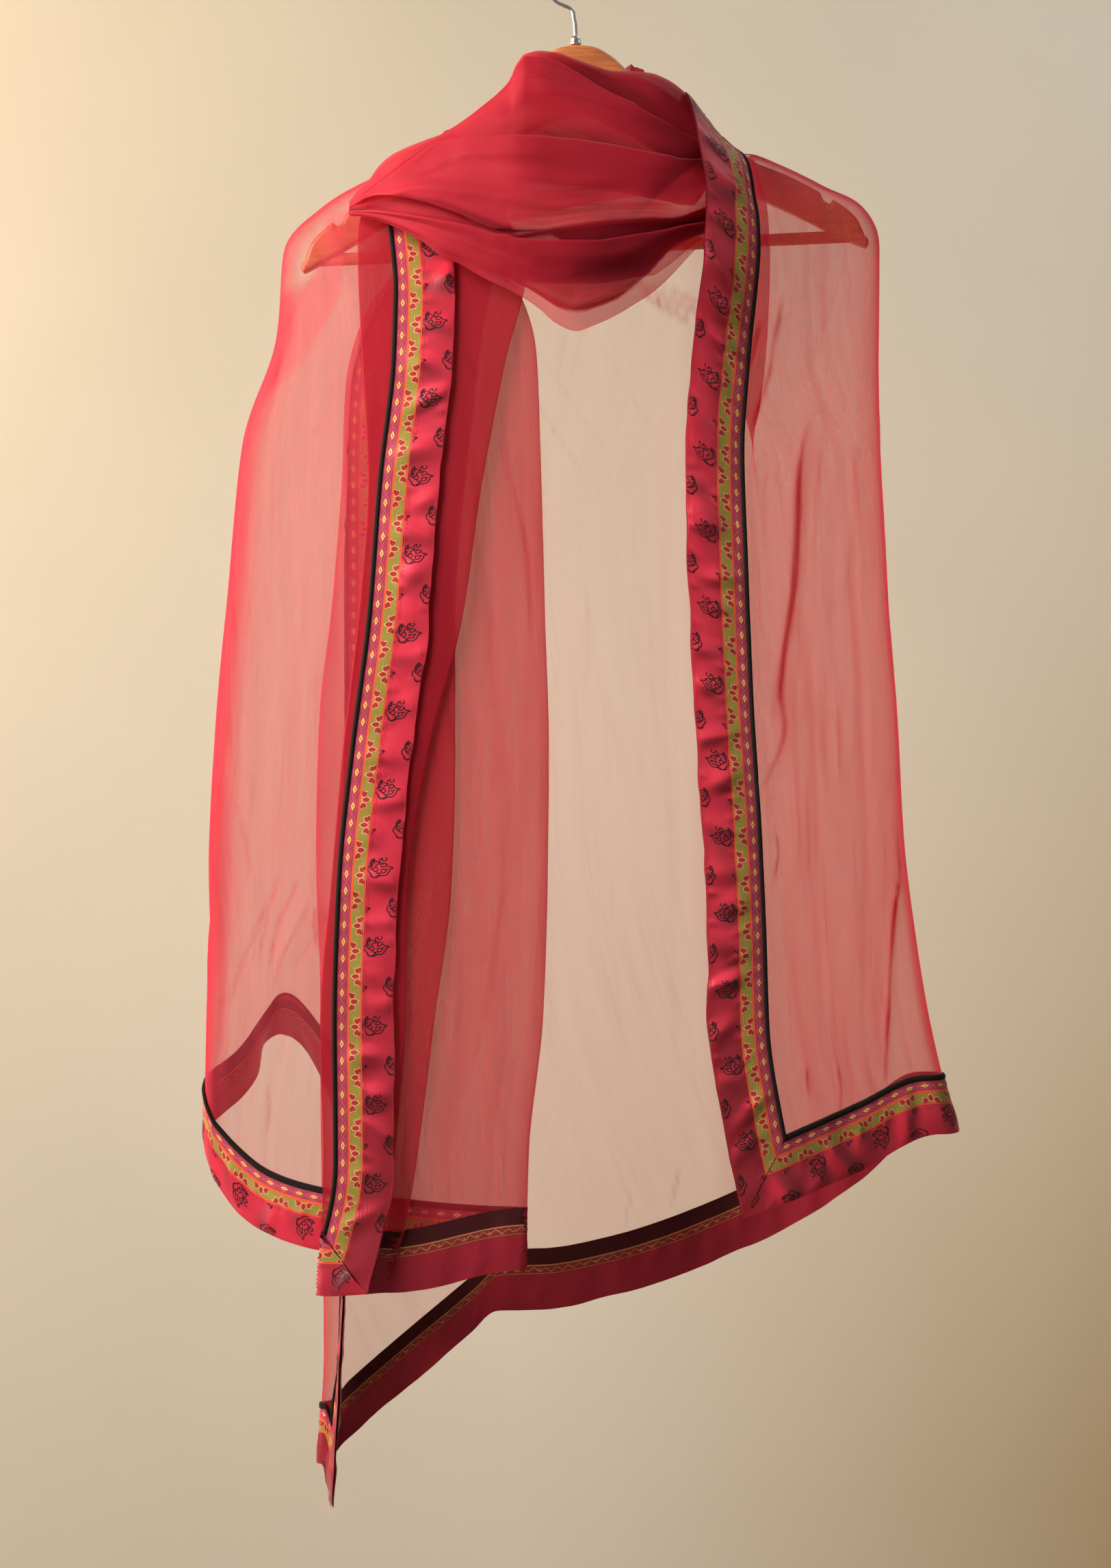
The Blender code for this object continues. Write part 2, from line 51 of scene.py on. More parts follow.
ARM = [
    # x,     top,    bottom
    (0.0,    0.0,    -54.0),
    (13.0,   -2.0,   -56.0),
    (27.0,   -10.0,  -60.0),
    (41.0,   -24.0,  -66.0),
    (75.0,   -55.5,  -86.0),
    (132.0,  -95.5,  -122.0),
    (159.0,  -108.0, -136.0),
    (182.0,  -121.5, -148.5),
    (198.0,  -132.0, -157.0),
    (209.0,  -143.5, -162.5),
    (214.0,  -156.0, -164.5),
]

# Weft lines of the right end, as in the CAD model, with the flap beside the
# piping: P its fold, Q where it turns back under.
RIGHT_COLS = "Fx Fy Fz Px Pd Qx Rx Ry Rz Rr Cx Cy Cz Tx Ty Tz Uz Bx By Bz Wx Wy Ex Ey Ez"
RIGHT = [
    (79, -6, -124,  127, -9, 125, 135, 2, -157, 8.5,   50, 15, -141,   -8, 20, -140, 0,   -56, 26, -139,  -30, 22,   -3, 17, -142),
    (83.5, -24, -114,  129, -11, 127, 137, 1, -157, 9,   50, 16, -146,  -12, 21, -145, 0,  -64, 27, -144,  -38, 23,  -11, 18, -147),
    (86, -50, -122,  130, -10, 126, 139, 0, -157, 10,   52, 16, -156,  -20, 22, -156, 0,  -78, 29, -157,  -52, 25,  -26, 20, -161),
    (92, -70, -154,  134, -6, 121, 143, 0, -158, 10.5,   55, 17, -172,  -34, 24, -176, 0,   -96, 31, -181,  -70, 27,  -44, 22, -184),
    (99, -80, -201,  144, -2, 117, 192, 0, -181, 10.5,   80, 18, -208,  -44, 26, -219, 0,  -130, 34, -232,  -104, 29,  -78, 25, -234),
    (98, -79, -224, 146, 0, 118, 222, 0, -197.5, 11.0, 86, 19, -230, -50, 28, -241, 0, -148, 36, -254, -122, 31, -96, 27, -255),
    (97, -78, -247, 147, 0, 120, 233.5, 0, -223, 11.0, 90, 20, -252, -54, 29, -264, 0, -162, 37, -276, -136, 32, -110, 28, -277),
    (89, -66, -307, 145, 0, 124, 233, 2, -299, 11.5, 90, 22, -310, -60, 32, -322, 0, -176, 40, -329, -152, 35, -128, 31, -330),
    (83, -57, -382, 135, 0, 128, 235, 4, -392, 12.0, 90, 26, -396, -60, 36, -400, 0, -179, 44, -402, -155, 39, -131, 35, -403),
    (86, -52, -485, 139, 0, 137, 240, 6, -490, 12.0, 92, 30, -492, -60, 40, -495, 0, -187, 48, -497, -159, 43, -131, 39, -498),
    (90, -50, -577, 142, 0, 141, 248, 8, -584, 12.5, 95, 34, -588, -60, 44, -590, 0, -197, 52, -592, -164, 47, -131, 42, -593),
    (96, -50, -669, 148, 0, 147, 253, 10, -679, 13.0, 98, 40, -684, -60, 49, -687, 0, -199, 56, -690, -167, 50, -137, 38, -690),
    (99, -50, -741, 152, 0, 151, 261, 12, -746, 13.0, 102, 46, -760, -58, 53, -768, 0, -197, 60, -776, -170, 55, -152, 26, -776),
    (101, -50, -818, 155, 0, 154, 272, 14, -816, 13.5, 110, 53, -842, -56, 58, -858, 0, -196, 65, -882, -175, 60, -168, 21, -880),
    (113, -50, -900, 166, 0, 165, 284, 16, -868, 14.0, 118, 61, -932, -54, 64, -966, 0, -193, 70, -1069, -180, 64, -177, 20, -1054),
    (127, -49, -963, 180, 0, 179, 294, 18, -904, 14.0, 121, 68, -1004, -58, 68, -1047, 0, -199, 72, -1166, -191, 62, -184, 22, -1192),
]

# Weft lines of the left end, as in the CAD model, with the two narrow pleats
# that show past the strip: g and h their outer folds, s and t the inner ones.
LEFT_COLS = "Fx Fy Fz Ax gx sx hx tx Dx Dz Mx Mz Kd Lx Ly Lz Ls Lr Jk Nx Ny Nz Ex Ey Ez yf pitch"
LEFT = [
    (-98, -25, -196, -152, -62, -120, -64, -100, -101, -192, -112, -178, 0, -118, 0, -157, 0, 10.5, 0, -92, 0, -154, -52, 12, -160, -25, 5.2),
    (-94, -30, -212, -163, -48, -121, -58, -99, -97, -208, -126, -192, 0, -140, 0, -168, 0, 10.5, 0, -112, 0, -165, -70, 13, -172, -30, 5.4),
    (-91, -35, -238, -163, -34, -122, -58, -100, -66, -230, -140, -214, 0, -184, 0, -191, 0, 10.5, 0, -142, 0, -188, -86, 14, -198, -35, 5.6),
    (-89, -42, -264, -162, -37, -122, -63, -102, -44, -258, -156, -244, 0, -221, 0, -229, 0, 10.5, 0, -162, 0, -228, -90, 14, -238, -42, 6.0),
    (-90, -52, -315, -159, -50, -122, -71, -105, -28, -310, -160, -300, 0, -226, -3, -292, 0, 10.0, 0, -172, 0, -296, -93, 14, -302, -52, 6.6),
    (-100, -58, -408, -154, -68, -125, -81, -115, -24, -403, -150, -392, 0, -252, -7, -378, 0, 9.0, 0, -182, 0, -384, -102, 12, -390, -58, 7.4),
    (-108, -61, -511, -161, -83, -129, -89, -121, -21, -507, -146, -496, 0, -262, -9, -484, 0, 9.0, 0, -188, 0, -488, -110, 11, -492, -61, 7.6),
    (-121, -62, -613, -173, -109, -137, -89, -130, -18, -609, -152, -600, 0, -272, -10, -592, 0, 9.0, 0, -194, 0, -590, -123, 10, -592, -62, 7.8),
    (-131, -63, -715, -182, -124, -146, -92, -136, -19, -711, -160, -702, 0, -277, -10, -696, 0, 9.0, 0, -198, 0, -680, -133, 10, -684, -63, 8.0),
    (-134, -64, -817, -190, -126, -150, -105, -140, -23, -812, -166, -802, 0, -279, -10, -784, 2, 9.0, 0, -208, 0, -748, -136, 10, -768, -64, 8.0),
    (-133, -66, -920, -188, -134, -152, -118, -140, -34, -910, -176, -896, -2, -281, -9, -862, 10, 9.0, 0, -221, 0, -798, -141, 10, -852, -64, 8.0),
    (-154, -71, -1018, -193, -148, -150, -136, -140, -36, -1001, -190, -988, -16, -283, 10, -903, 34, 9.0, 1, -226, 34, -829, -158, 14, -942, -64, 8.0),
]

# The drape across the front: heights of its contour and fold lines at x, how far
# forward it comes (yf) and where it starts behind (yb).
COWL_COLS = "x top A B C E D bot rim yf yb"
COWL = [
    (-169, -196, -199, -202, -203.5, -205, -206, -208, -207, -40, -30),
    (-162, -187, -195, -198, -200, -205, -206.5, -209, -208, -46, -30),
    (-155, -181, -190, -194, -196, -205, -207, -211, -210, -50, -30),
    (-148, -171, -185, -189, -195, -206, -208, -213, -214, -54, -30),
    (-138, -162, -178, -182, -196, -208, -210, -217, -218, -60, -31),
    (-128, -157, -170, -175, -198, -210, -212, -222, -223, -64, -32),
    (-113, -151, -159, -164, -202, -213, -215, -231, -230, -69, -32),
    (-99, -146, -149, -155, -207, -216, -218, -242, -237, -73, -32),
    (-84, -137, -139, -153, -213, -219, -221, -249, -244, -76, -32),
    (-69, -125, -128, -152, -221, -223, -225, -258, -251, -78, -31),
    (-57, -115, -118, -153, -225, -227, -229, -264, -257, -80, -30),
    (-48, -104, -109, -153, -225, -229, -230, -268, -263, -81, -28),
    (-43, -92, -98, -153, -226, -230, -232, -271, -267, -81, -24),
    (-36, -84, -90, -154, -226, -229, -233, -275, -272, -82, -20),
    (-25, -81, -90, -154, -226, -227, -234, -283, -278, -82, -18),
    (-13, -82, -94, -155, -224, -225, -234, -293, -283, -82, -16),
    (2, -87, -102, -156, -221, -222, -234, -299, -285, -82, -15),
    (16, -92, -111, -158, -219, -220, -234, -294, -284, -81, -15),
    (31, -96, -120, -160, -217, -218, -232, -287, -277, -79, -15),
    (46, -96, -127, -163, -216, -217, -229, -278, -265, -76, -15),
    (58, -97, -135, -165, -215, -216, -227, -270, -253, -73, -15),
    (71, -102, -142, -167, -215, -216, -224, -258, -238, -69, -16),
    (81, -109, -148, -169, -213, -214, -221, -247, -231, -65, -17),
    (90, -119, -152, -169, -209, -210, -219, -237, -227, -61, -19),
    (99, -131, -155, -167, -205, -206, -217, -228, -223, -57, -21),
    (112, -146, -159, -166, -200, -201, -213, -219, -217, -50, -24),
]

WRAP_COLS = "ix iy iz ox oy oz"
WRAP = [
    (42, -16, -104,   78, -18, -136),
    (44, 0, -87,      84, 0, -120),
    (42, 10, -87,     86, 14, -125),
    (36, 18, -90,     88, 36, -146),
    (22, 24, -88,     58, 50, -178),
    (0, 27, -87,      0, 54, -186),
    (-24, 28, -92,    -66, 54, -190),
    (-46, 22, -100,   -118, 46, -192),
    (-54, 0, -103,    -140, 1, -160),
    (-56, -15, -110,  -144, -15, -168),
]


# ================================================================== numerics
def hermite(t, v, q):
    """Monotone cubic through (t, v), read at q."""
    t, v, q = np.asarray(t, float), np.asarray(v, float), np.asarray(q, float)
    if v.ndim == 1:
        return hermite(t, v[:, None], q)[:, 0]
    h = np.diff(t)
    s = np.diff(v, axis=0) / h[:, None]
    m = np.zeros_like(v)
    m[0], m[-1] = s[0], s[-1]
    for i in range(1, len(t) - 1):
        w1, w2 = 2 * h[i] + h[i - 1], h[i] + 2 * h[i - 1]
        same = s[i - 1] * s[i] > 0
        with np.errstate(divide="ignore", invalid="ignore"):
            m[i] = np.where(same, (w1 + w2) / (w1 / s[i - 1] + w2 / s[i]), 0.0)
    k = np.clip(np.searchsorted(t, q, side="right") - 1, 0, len(t) - 2)
    u = ((q - t[k]) / h[k])[:, None]
    hk = h[k][:, None]
    return ((1 + 2 * u) * (1 - u) ** 2 * v[k] + u * (1 - u) ** 2 * hk * m[k]
            + u * u * (3 - 2 * u) * v[k + 1] + u * u * (u - 1) * hk * m[k + 1])


def read_table(names, rows, t, by=None):
    data = np.array(rows, dtype=float)
    names = names.split()
    step = np.abs(np.diff(data, axis=0)).mean(axis=1) + 1.0
    if by is not None:
        step = np.abs(np.diff(data[:, names.index(by)])) + 0.5
    at = np.concatenate([[0.0], np.cumsum(step)])
    out = hermite(at / at[-1], data, np.atleast_1d(t))
    return [dict(zip(names, r)) for r in out]


def fold_arc(x, y, z, r, side, n=6, rx=None):
    rx = r if rx is None else rx
    return [(x - side * rx + side * rx * math.cos(a), y + r * math.sin(a), z)
            for a in (-math.pi / 2 + math.pi * k / n for k in range(n + 1))]


def line_lengths(line):
    return np.concatenate([[0.0], np.cumsum(np.linalg.norm(np.diff(line, axis=0), axis=1))])


def through(points, each=8):
    p = np.array(points, dtype=float)
    t = line_lengths(p)
    keep = np.concatenate([[True], np.diff(t) > 1e-6])
    p, t = p[keep], t[keep]
    q = np.concatenate([np.linspace(t[i], t[i + 1], each, endpoint=False) for i in range(len(t) - 1)] + [[t[-1]]])
    return hermite(t, p, q)


def curve(points, each=14):
    """Dense line through the points, its lengths, and the lengths at the points."""
    p = np.array(points, dtype=float)
    t = np.concatenate([[0.0], np.cumsum(np.maximum(np.linalg.norm(np.diff(p, axis=0), axis=1), 0.02))])
    q = np.concatenate([np.linspace(t[i], t[i + 1], each, endpoint=False) for i in range(len(t) - 1)] + [[t[-1]]])
    line = hermite(t, p, q)
    at = line_lengths(line)
    return line, at, at[::each]


def ease(v, lo, hi):
    u = min(1.0, max(0.0, (v - lo) / (hi - lo)))
    return u * u * (3 - 2 * u)


def opened(folded, flat, w):
    """Between a flat layout of the points (w = 0) and the folded one (w = 1)."""
    return [tuple(q * w + p * (1 - w) for q, p in zip(a, b)) for a, b in zip(folded, flat)]


def right_section(r):
    """Control points of a weft line, and its stretches: (name, last point, columns)."""
    x0, y0, z0 = r["Fx"], r["Fy"], r["Fz"]
    xr, yr, zr = r["Rx"] - r["Rr"], r["Ry"] - r["Rr"], r["Rz"]
    full = max(xr - x0, 1.0)
    d = r["Px"] - r["Qx"]
    w = ease(d, 1.0, 13.0)

    def flat(x, dy=0.0):                       # the plain front panel
        q = min(1.0, max(0.0, (x - x0) / full))
        return (x, y0 + (yr - y0) * q * q * (3 - 2 * q) + dy, z0 + (zr - z0) * q)
    px, qx = r["Px"], r["Qx"]
    rad = 1.5
    yp = max(flat(px)[1] - 3.0 * w, y0)
    yp = min(yp, y0 + 0.80 * (px - x0))
    zp = flat(px)[2] + r["Pd"]
    fp = fold_arc(px, yp + rad, zp, rad, 1, 6, 2.0)
    fq = fold_arc(qx, yp + 3 * rad + 1.5, zp, rad, -1, 6, 2.0)
    line_p = [flat(px - 4.0 + 0.9 * k)[:2] + (flat(px - 4.0 + 0.9 * k)[2] + r["Pd"],) for k in range(7)]
    line_q = [flat(px + 4.0 + 0.9 * k)[:2] + (flat(px + 4.0 + 0.9 * k)[2] + r["Pd"],) for k in range(7)]
    ctl = [(x0, y0, z0), (x0 * 0.35 + px * 0.65, flat(x0 * 0.35 + px * 0.65)[1] * (1 - w) + (y0 * 0.42 + (yp - 1.0) * 0.58) * w,
                          z0 * 0.35 + zp * 0.65)]
    ctl += opened(fp, line_p, w)
    ctl += opened(fq, line_q, w)
    marks = [("strip", 2, 14), ("P", 8, 8), ("PQ", 9, 9), ("Q", 15, 8)]
    xq = px * 0.55 + xr * 0.45
    fx = flat(xq)
    ctl.append((fx[0], max(fx[1], (yp + 6.5) * w + fx[1] * (1 - w)), fx[2]))
    ctl += fold_arc(r["Rx"], r["Ry"], r["Rz"], r["Rr"], 1, 8)
    marks += [("front", 17, 56), ("R", 25, 12)]
    low = min(1.0, max(0.0, (-860.0 - r["Cz"]) / 144.0))    # 1 at the hem

    def between(a, b, q, dz):
        return (a[0] + (b[0] - a[0]) * q, a[1] + (b[1] - a[1]) * q, a[2] + (b[2] - a[2]) * q + dz)
    c_, t_, b_ = (r["Cx"], r["Cy"], r["Cz"]), (r["Tx"], r["Ty"], r["Tz"]), (r["Bx"], r["By"], r["Bz"])
    ctl.append(between(ctl[-1], c_, 0.46, -6.0 * low))
    ctl += [c_, between(c_, t_, 0.5, -10.0 * low ** 1.5), between(c_, t_, 0.8, -7.5 * low ** 1.5), t_]
    ctl.append(between(t_, b_, 0.15, r["Uz"]))         # where the hem turns down
    ctl.append(between(t_, b_, 0.85, -1.0 * low))
    ctl += fold_arc(r["Bx"], r["By"] - 3.0, r["Bz"], 3.0, -1)[::-1]
    marks += [("back_r", 27, 60), ("back_m", 30, 60), ("back_l", 33, 54), ("B", 39, 9)]
    ctl.append((r["Wx"], r["Wy"], r["Bz"] * 0.5 + r["Ez"] * 0.5))
    ctl.append((r["Ex"], r["Ey"], r["Ez"]))
    marks += [("tail", 41, 10)]
    return ctl, marks


def left_section(r):
    y0 = r["yf"]
    y2 = y0 + 4.0 + r["pitch"]
    step = (y2 - y0) / 6.6
    zf, zd = r["Fz"], r["Dz"]
    ctl = [(r["Fx"], r["Fy"], zf)]
    ctl += fold_arc(r["Ax"], y0 + 0.6 * step, zf, 0.6 * step, -1)
    marks = [("strip", 1, 5), ("A", 7, 8)]
    lvl = y0 + 1.2 * step
    names = [("AG", 28, "G"), ("GS", 14, "S"), ("SH", 12, "H"), ("HT", 12, "T")]
    k = 0
    rad = 0.42 * step
    for a, b in (("gx", "sx"), ("hx", "tx")):
        w = ease(r[a] - r[b], 1.0, 13.0)
        mid = (r[a] + r[b]) / 2
        rx = 0.6 + 0.5 * w
        fa = fold_arc(r[a], lvl + rad, zf, rad, 1, 6, rx)
        fb = fold_arc(r[b], lvl + 3.25 * rad, zf, rad, -1, 6, rx)
        la = [(mid - 7.0 + q, lvl + rad * q / 3.0, zf) for q in range(7)]
        lb = [(mid + q, lvl + 2.25 * rad + rad * q / 3.0, zf) for q in range(7)]
        ctl += opened(fa, la, w)
        marks += [(names[k][0], len(ctl) - 7, names[k][1]), (names[k][2], len(ctl) - 1, 8)]
        k += 1
        ctl += opened(fb, lb, w)
        marks += [(names[k][0], len(ctl) - 7, names[k][1]), (names[k][2], len(ctl) - 1, 8)]
        k += 1
        lvl += 4.5 * rad
    rd = (y2 - lvl) / 2
    ctl += fold_arc(r["Dx"], (lvl + y2) / 2, zd, rd, 1)
    marks += [("TD", len(ctl) - 7, 30), ("D", len(ctl) - 1, 9)]
    ym = y2 + (r["Ly"] - r["Lr"] - y2) * 0.45
    ctl.append((r["Mx"], ym, r["Mz"]))
    marks.append(("DM", len(ctl) - 1, 56))
    slant = [float(np.interp(k, [0, 4, 8], [-1.0, 0.0, 0.3])) * r["Ls"] for k in range(9)]
    outer = [(x, y, z + d) for (x, y, z), d in zip(fold_arc(r["Lx"], r["Ly"], r["Lz"], r["Lr"], -1, 8), slant)]
    m_, f_ = np.array(ctl[-1]), np.array(outer[0])
    ctl.append(tuple(m_ + (f_ - m_) * 0.62 + np.array([0.0, 0.0, r["Kd"]])))
    ctl += outer
    marks += [("ML", len(ctl) - 9, 48), ("L", len(ctl) - 1, 11)]
    b_ = np.array(outer[-1])
    n_ = np.array([r["Nx"], (r["Ly"] + r["Lr"]) * 0.4 + r["Ey"] * 0.6 + r["Ny"] * 0.6, r["Nz"]])
    for q, dz in ((0.62, -6.0), (0.72, 9.6)):
        ctl.append(tuple(b_ + (n_ - b_) * q + np.array([0.0, 0.0, dz * r["Jk"]])))
    ctl.append(tuple(n_))
    marks.append(("LN", len(ctl) - 1, 26))
    ctl.append((r["Ex"], r["Ey"], r["Ez"]))
    marks.append(("NE", len(ctl) - 1, 10))
    return ctl, marks


def tangents(g, axis):
    d = np.diff(g, axis=axis)
    d = d / (np.linalg.norm(d, axis=2)[:, :, None] + 1e-12)
    first, last = np.take(d, [0], axis=axis), np.take(d, [-1], axis=axis)
    return np.concatenate([first, d], axis=axis) + np.concatenate([d, last], axis=axis)


def grid_normals(g):
    n = np.cross(tangents(g, 1), tangents(g, 0))
    return n / (np.linalg.norm(n, axis=2)[:, :, None] + 1e-12)


def smooth_noise(shape_v, shape_u, lv, lu, seed):
    """Smooth noise over v (rows, mm) and u (columns, mm) with cell sizes lv, lu."""
    g = np.random.default_rng(seed)
    v, u = shape_v, shape_u
    nv, nu = int(v.max() / lv) + 4, int(u.max() / lu) + 4
    cells = g.uniform(-1, 1, (nv, nu))
    fv, fu = v / lv, u / lu
    iv, iu = np.floor(fv).astype(int), np.floor(fu).astype(int)
    dv, du = fv - iv, fu - iu
    dv, du = dv * dv * (3 - 2 * dv), du * du * (3 - 2 * du)
    return ((cells[iv, iu] * (1 - du) + cells[iv, iu + 1] * du) * (1 - dv)
            + (cells[iv + 1, iu] * (1 - du) + cells[iv + 1, iu + 1] * du) * dv)


class Fall:
    """Fine grid of one hanging end.  P[row, column]; u, v in mm of cloth."""

    EDGE = np.array([0, 1.2, 4, 8, 12, 16, 20, 23, 24, 25.4, 28, 31, 33.9, 35.3, 38, 41, 43.5, 45, 46.5])

    def __init__(self, names, table, section, row_step, samples=120):
        edge = self.EDGE
        grid, width = [], []
        for rec in read_table(names, table, np.linspace(0, 1, samples)):
            ctl, marks = section(rec)
            line, at, knots = curve(ctl)
            cols, self.seg = list(edge), {}
            here = edge[-1]
            for i, (name, last, n) in enumerate(marks):
                end = knots[last] if i + 1 < len(marks) else at[-1] - edge[-1]
                end = max(end, here + 0.3 * n)
                stops = np.linspace(here, end, n + 1)[1:]
                self.seg[name] = (len(cols) - 1, len(cols) - 1 + n)
                cols += list(stops)
                here = end
            cols = np.array(cols + list(at[-1] - edge[::-1][1:]))
            grid.append(np.stack([np.interp(cols, at, line[:, i]) for i in range(3)], axis=1))
            width.append(cols)
        grid, width = np.array(grid), np.array(width)
        n_rows = int(np.mean([line_lengths(grid[:, c])[-1] for c in range(0, grid.shape[1], 10)]) / row_step)
        P, U, V = [], [], []
        for c in range(grid.shape[1]):
            down = line_lengths(grid[:, c])
            stops = np.concatenate([np.linspace(0.0, down[-1] - edge[-1], n_rows), down[-1] - edge[::-1][1:]])
            P.append(np.stack([np.interp(stops, down, grid[:, c, i]) for i in range(3)], axis=1))
            U.append(np.interp(stops, down, width[:, c]))
            V.append(stops)
        self.P = np.array(P).transpose(1, 0, 2)
        self.U, self.V = np.array(U).T, np.array(V).T
        self.rows, self.cols = self.P.shape[:2]
        self.from_end = self.U[:, -1:] - self.U          # distance from the far long edge
        self.from_hem = self.V[-1:, :] - self.V
        self.rest = self.P.copy()
        self.N = grid_normals(self.P)
        self.W = self.U                            # where each warp thread lies, for creases and weave
        if "D" in self.seg:
            c = np.arange(self.cols, dtype=float)
            free = np.clip((c - self.seg["A"][0]) / (self.seg["DM"][0] - self.seg["A"][0]), 0, 1) ** 1.5
            self.W = self.U + (420.0 - self.U[:, self.seg["D"][0]])[:, None] * free[None, :]

    def displace(self, amount):
        self.P = self.P + self.N * amount[:, :, None]

    def settle(self, passes=1):
        """Light smoothing of the displaced grid from row to row, down its columns."""
        for _ in range(passes):
            q = self.P.copy()
            q[1:-1] = 0.5 * self.P[1:-1] + 0.25 * (self.P[:-2] + self.P[2:])
            self.P = q
        self.N = grid_normals(self.P)

    def at(self, row, col, lift):
        r0 = np.clip(np.floor(row).astype(int), 0, self.rows - 2)
        c0 = np.clip(np.floor(col).astype(int), 0, self.cols - 2)
        fr, fc = (row - r0)[..., None], (col - c0)[..., None]
        Q = self.P + self.N * 0.0

        def mix(A):
            return ((A[r0, c0] * (1 - fc) + A[r0, c0 + 1] * fc) * (1 - fr)
                    + (A[r0 + 1, c0] * (1 - fc) + A[r0 + 1, c0 + 1] * fc) * fr)
        n = mix(self.N)
        n /= np.linalg.norm(n, axis=-1)[..., None] + 1e-9
        return mix(Q) + n * np.asarray(lift)[..., None], n


def edge_index(d):
    return np.interp(d, Fall.EDGE, np.arange(len(Fall.EDGE)))


class Run:
    """Coordinates along one border run: d mm from the outer edge, l mm along."""

    def __init__(self, fall, kind, side):
        self.f, self.kind, self.side = fall, kind, side
        if kind == "hem":
            mid = fall.P[-1]
        else:
            mid = fall.P[:, 0 if kind == "first" else -1]
        self.l_of = line_lengths(mid)
        self.length = self.l_of[-1]
        self.folds = []
        self.calm = self.bend_guard()

    def bend_guard(self):
        """1 where the run lies open, 0 round its tight folds."""
        f = self.f
        mid = f.rest[-1] if self.kind == "hem" else f.rest[:, 0 if self.kind == "first" else -1]
        t = line_lengths(mid)
        q = np.arange(0.0, t[-1], 1.5)
        p = np.stack([np.interp(q, t, mid[:, i]) for i in range(3)], axis=1)
        d = np.diff(p, axis=0)
        d /= np.linalg.norm(d, axis=1)[:, None] + 1e-9
        turn = np.concatenate([[0.0], np.linalg.norm(np.diff(d, axis=0), axis=1) / 1.5, [0.0]])
        turn = np.array([turn[max(0, i - 6):i + 7].max() for i in range(len(turn))])
        calm = np.convolve(np.pad(np.clip(1.15 - 7.0 * turn, 0.0, 1.0), 4, mode="edge"), np.ones(9) / 9, mode="valid")
        return np.interp(t, q, calm)

    def gather(self, seed, spacing=(22, 40)):
        """Cross puckers of the sewn band: soft ridges, uneven in length, height and slant."""
        g = np.random.default_rng(seed)
        self.folds = []
        pos = -10.0
        while pos < self.length + 10:
            self.folds.append((pos, g.uniform(5.5, 10.0), g.uniform(0.9, 2.9), g.uniform(-0.55, 0.55),
                               g.uniform(4, 26), g.uniform(9, 19)))
            pos += g.uniform(*spacing)
        pos = 0.0
        while pos < self.length:
            seam = g.choice([2.0, 22.0, 24.0, 26.0])
            self.folds.append((pos, g.uniform(1.8, 3.6), g.uniform(0.3, 1.0), g.uniform(-0.5, 0.5),
                               seam, g.uniform(4, 8)))
            pos += g.uniform(7, 17)

    def relief(self, d, l):
        out = np.zeros(np.broadcast(d, l).shape)
        for pos, w, h, slant, mid, reach in self.folds:
            off = l - pos - slant * (d - mid)
            hit = np.abs(off) < 2.6 * w
            if not hit.any():
                continue
            out = out + np.where(hit, h * np.exp(-(off / w) ** 2) * np.exp(-((d - mid) / reach) ** 2), 0.0)
        out = out * np.interp(l, self.l_of, self.calm)
        return out * np.clip(d / 3.0, 0.25, 1.0) * np.clip((44.0 - d) / 10.0, 0.0, 1.0)

    def point(self, d, l, lift):
        d, l = np.broadcast_arrays(np.asarray(d, float), np.asarray(l, float))
        lift = np.broadcast_to(np.asarray(lift, float), d.shape)
        lift = (lift + self.relief(d, l) * np.where(lift < 0, -0.8, 1.0)) * self.side
        k = np.interp(l, self.l_of, np.arange(len(self.l_of)))
        e = edge_index(np.clip(d, 0, BORDER_W))
        if self.kind == "hem":
            return self.f.at((self.f.rows - 1) - e, k, lift)[0]
        col = e if self.kind == "first" else (self.f.cols - 1) - e
        return self.f.at(k, col, lift)[0]

    def span(self, d):
        """First and last l of the run at distance d, inside the mitres."""
        if self.kind == "hem":
            return d, self.length - d
        return 0.0, self.length - d


# =================================================================== objects
made = []


def new_mesh(name, verts, faces, mats, face_mat=None, uv=None, attrs=None, smooth=True):
    me = bpy.data.meshes.new(name)
    verts = np.asarray(verts, dtype=np.float64) * MM
    me.from_pydata(verts.tolist(), [], [list(map(int, f)) for f in faces])
    for m in mats:
        me.materials.append(m)
    if face_mat is not None:
        me.polygons.foreach_set("material_index", np.asarray(face_mat, dtype=np.int32))
    if uv is not None:
        layer = me.uv_layers.new(name="cloth")
        idx = np.empty(len(me.loops), dtype=np.int32)
        me.loops.foreach_get("vertex_index", idx)
        layer.data.foreach_set("uv", np.asarray(uv, dtype=np.float32)[idx].ravel())
    for key, val in (attrs or {}).items():
        a = me.attributes.new(key, "FLOAT", "POINT")
        a.data.foreach_set("value", np.asarray(val, dtype=np.float32))
    if smooth:
        me.shade_smooth()
    me.update()
    ob = bpy.data.objects.new(name, me)
    bpy.context.scene.collection.objects.link(ob)
    made.append(ob)
    return ob


def quads(n, m, flip=False):
    r, c = np.meshgrid(np.arange(n - 1), np.arange(m - 1), indexing="ij")
    a = (r * m + c).ravel()
    f = np.stack([a, a + 1, a + m + 1, a + m], axis=1)
    return f[:, ::-1] if flip else f


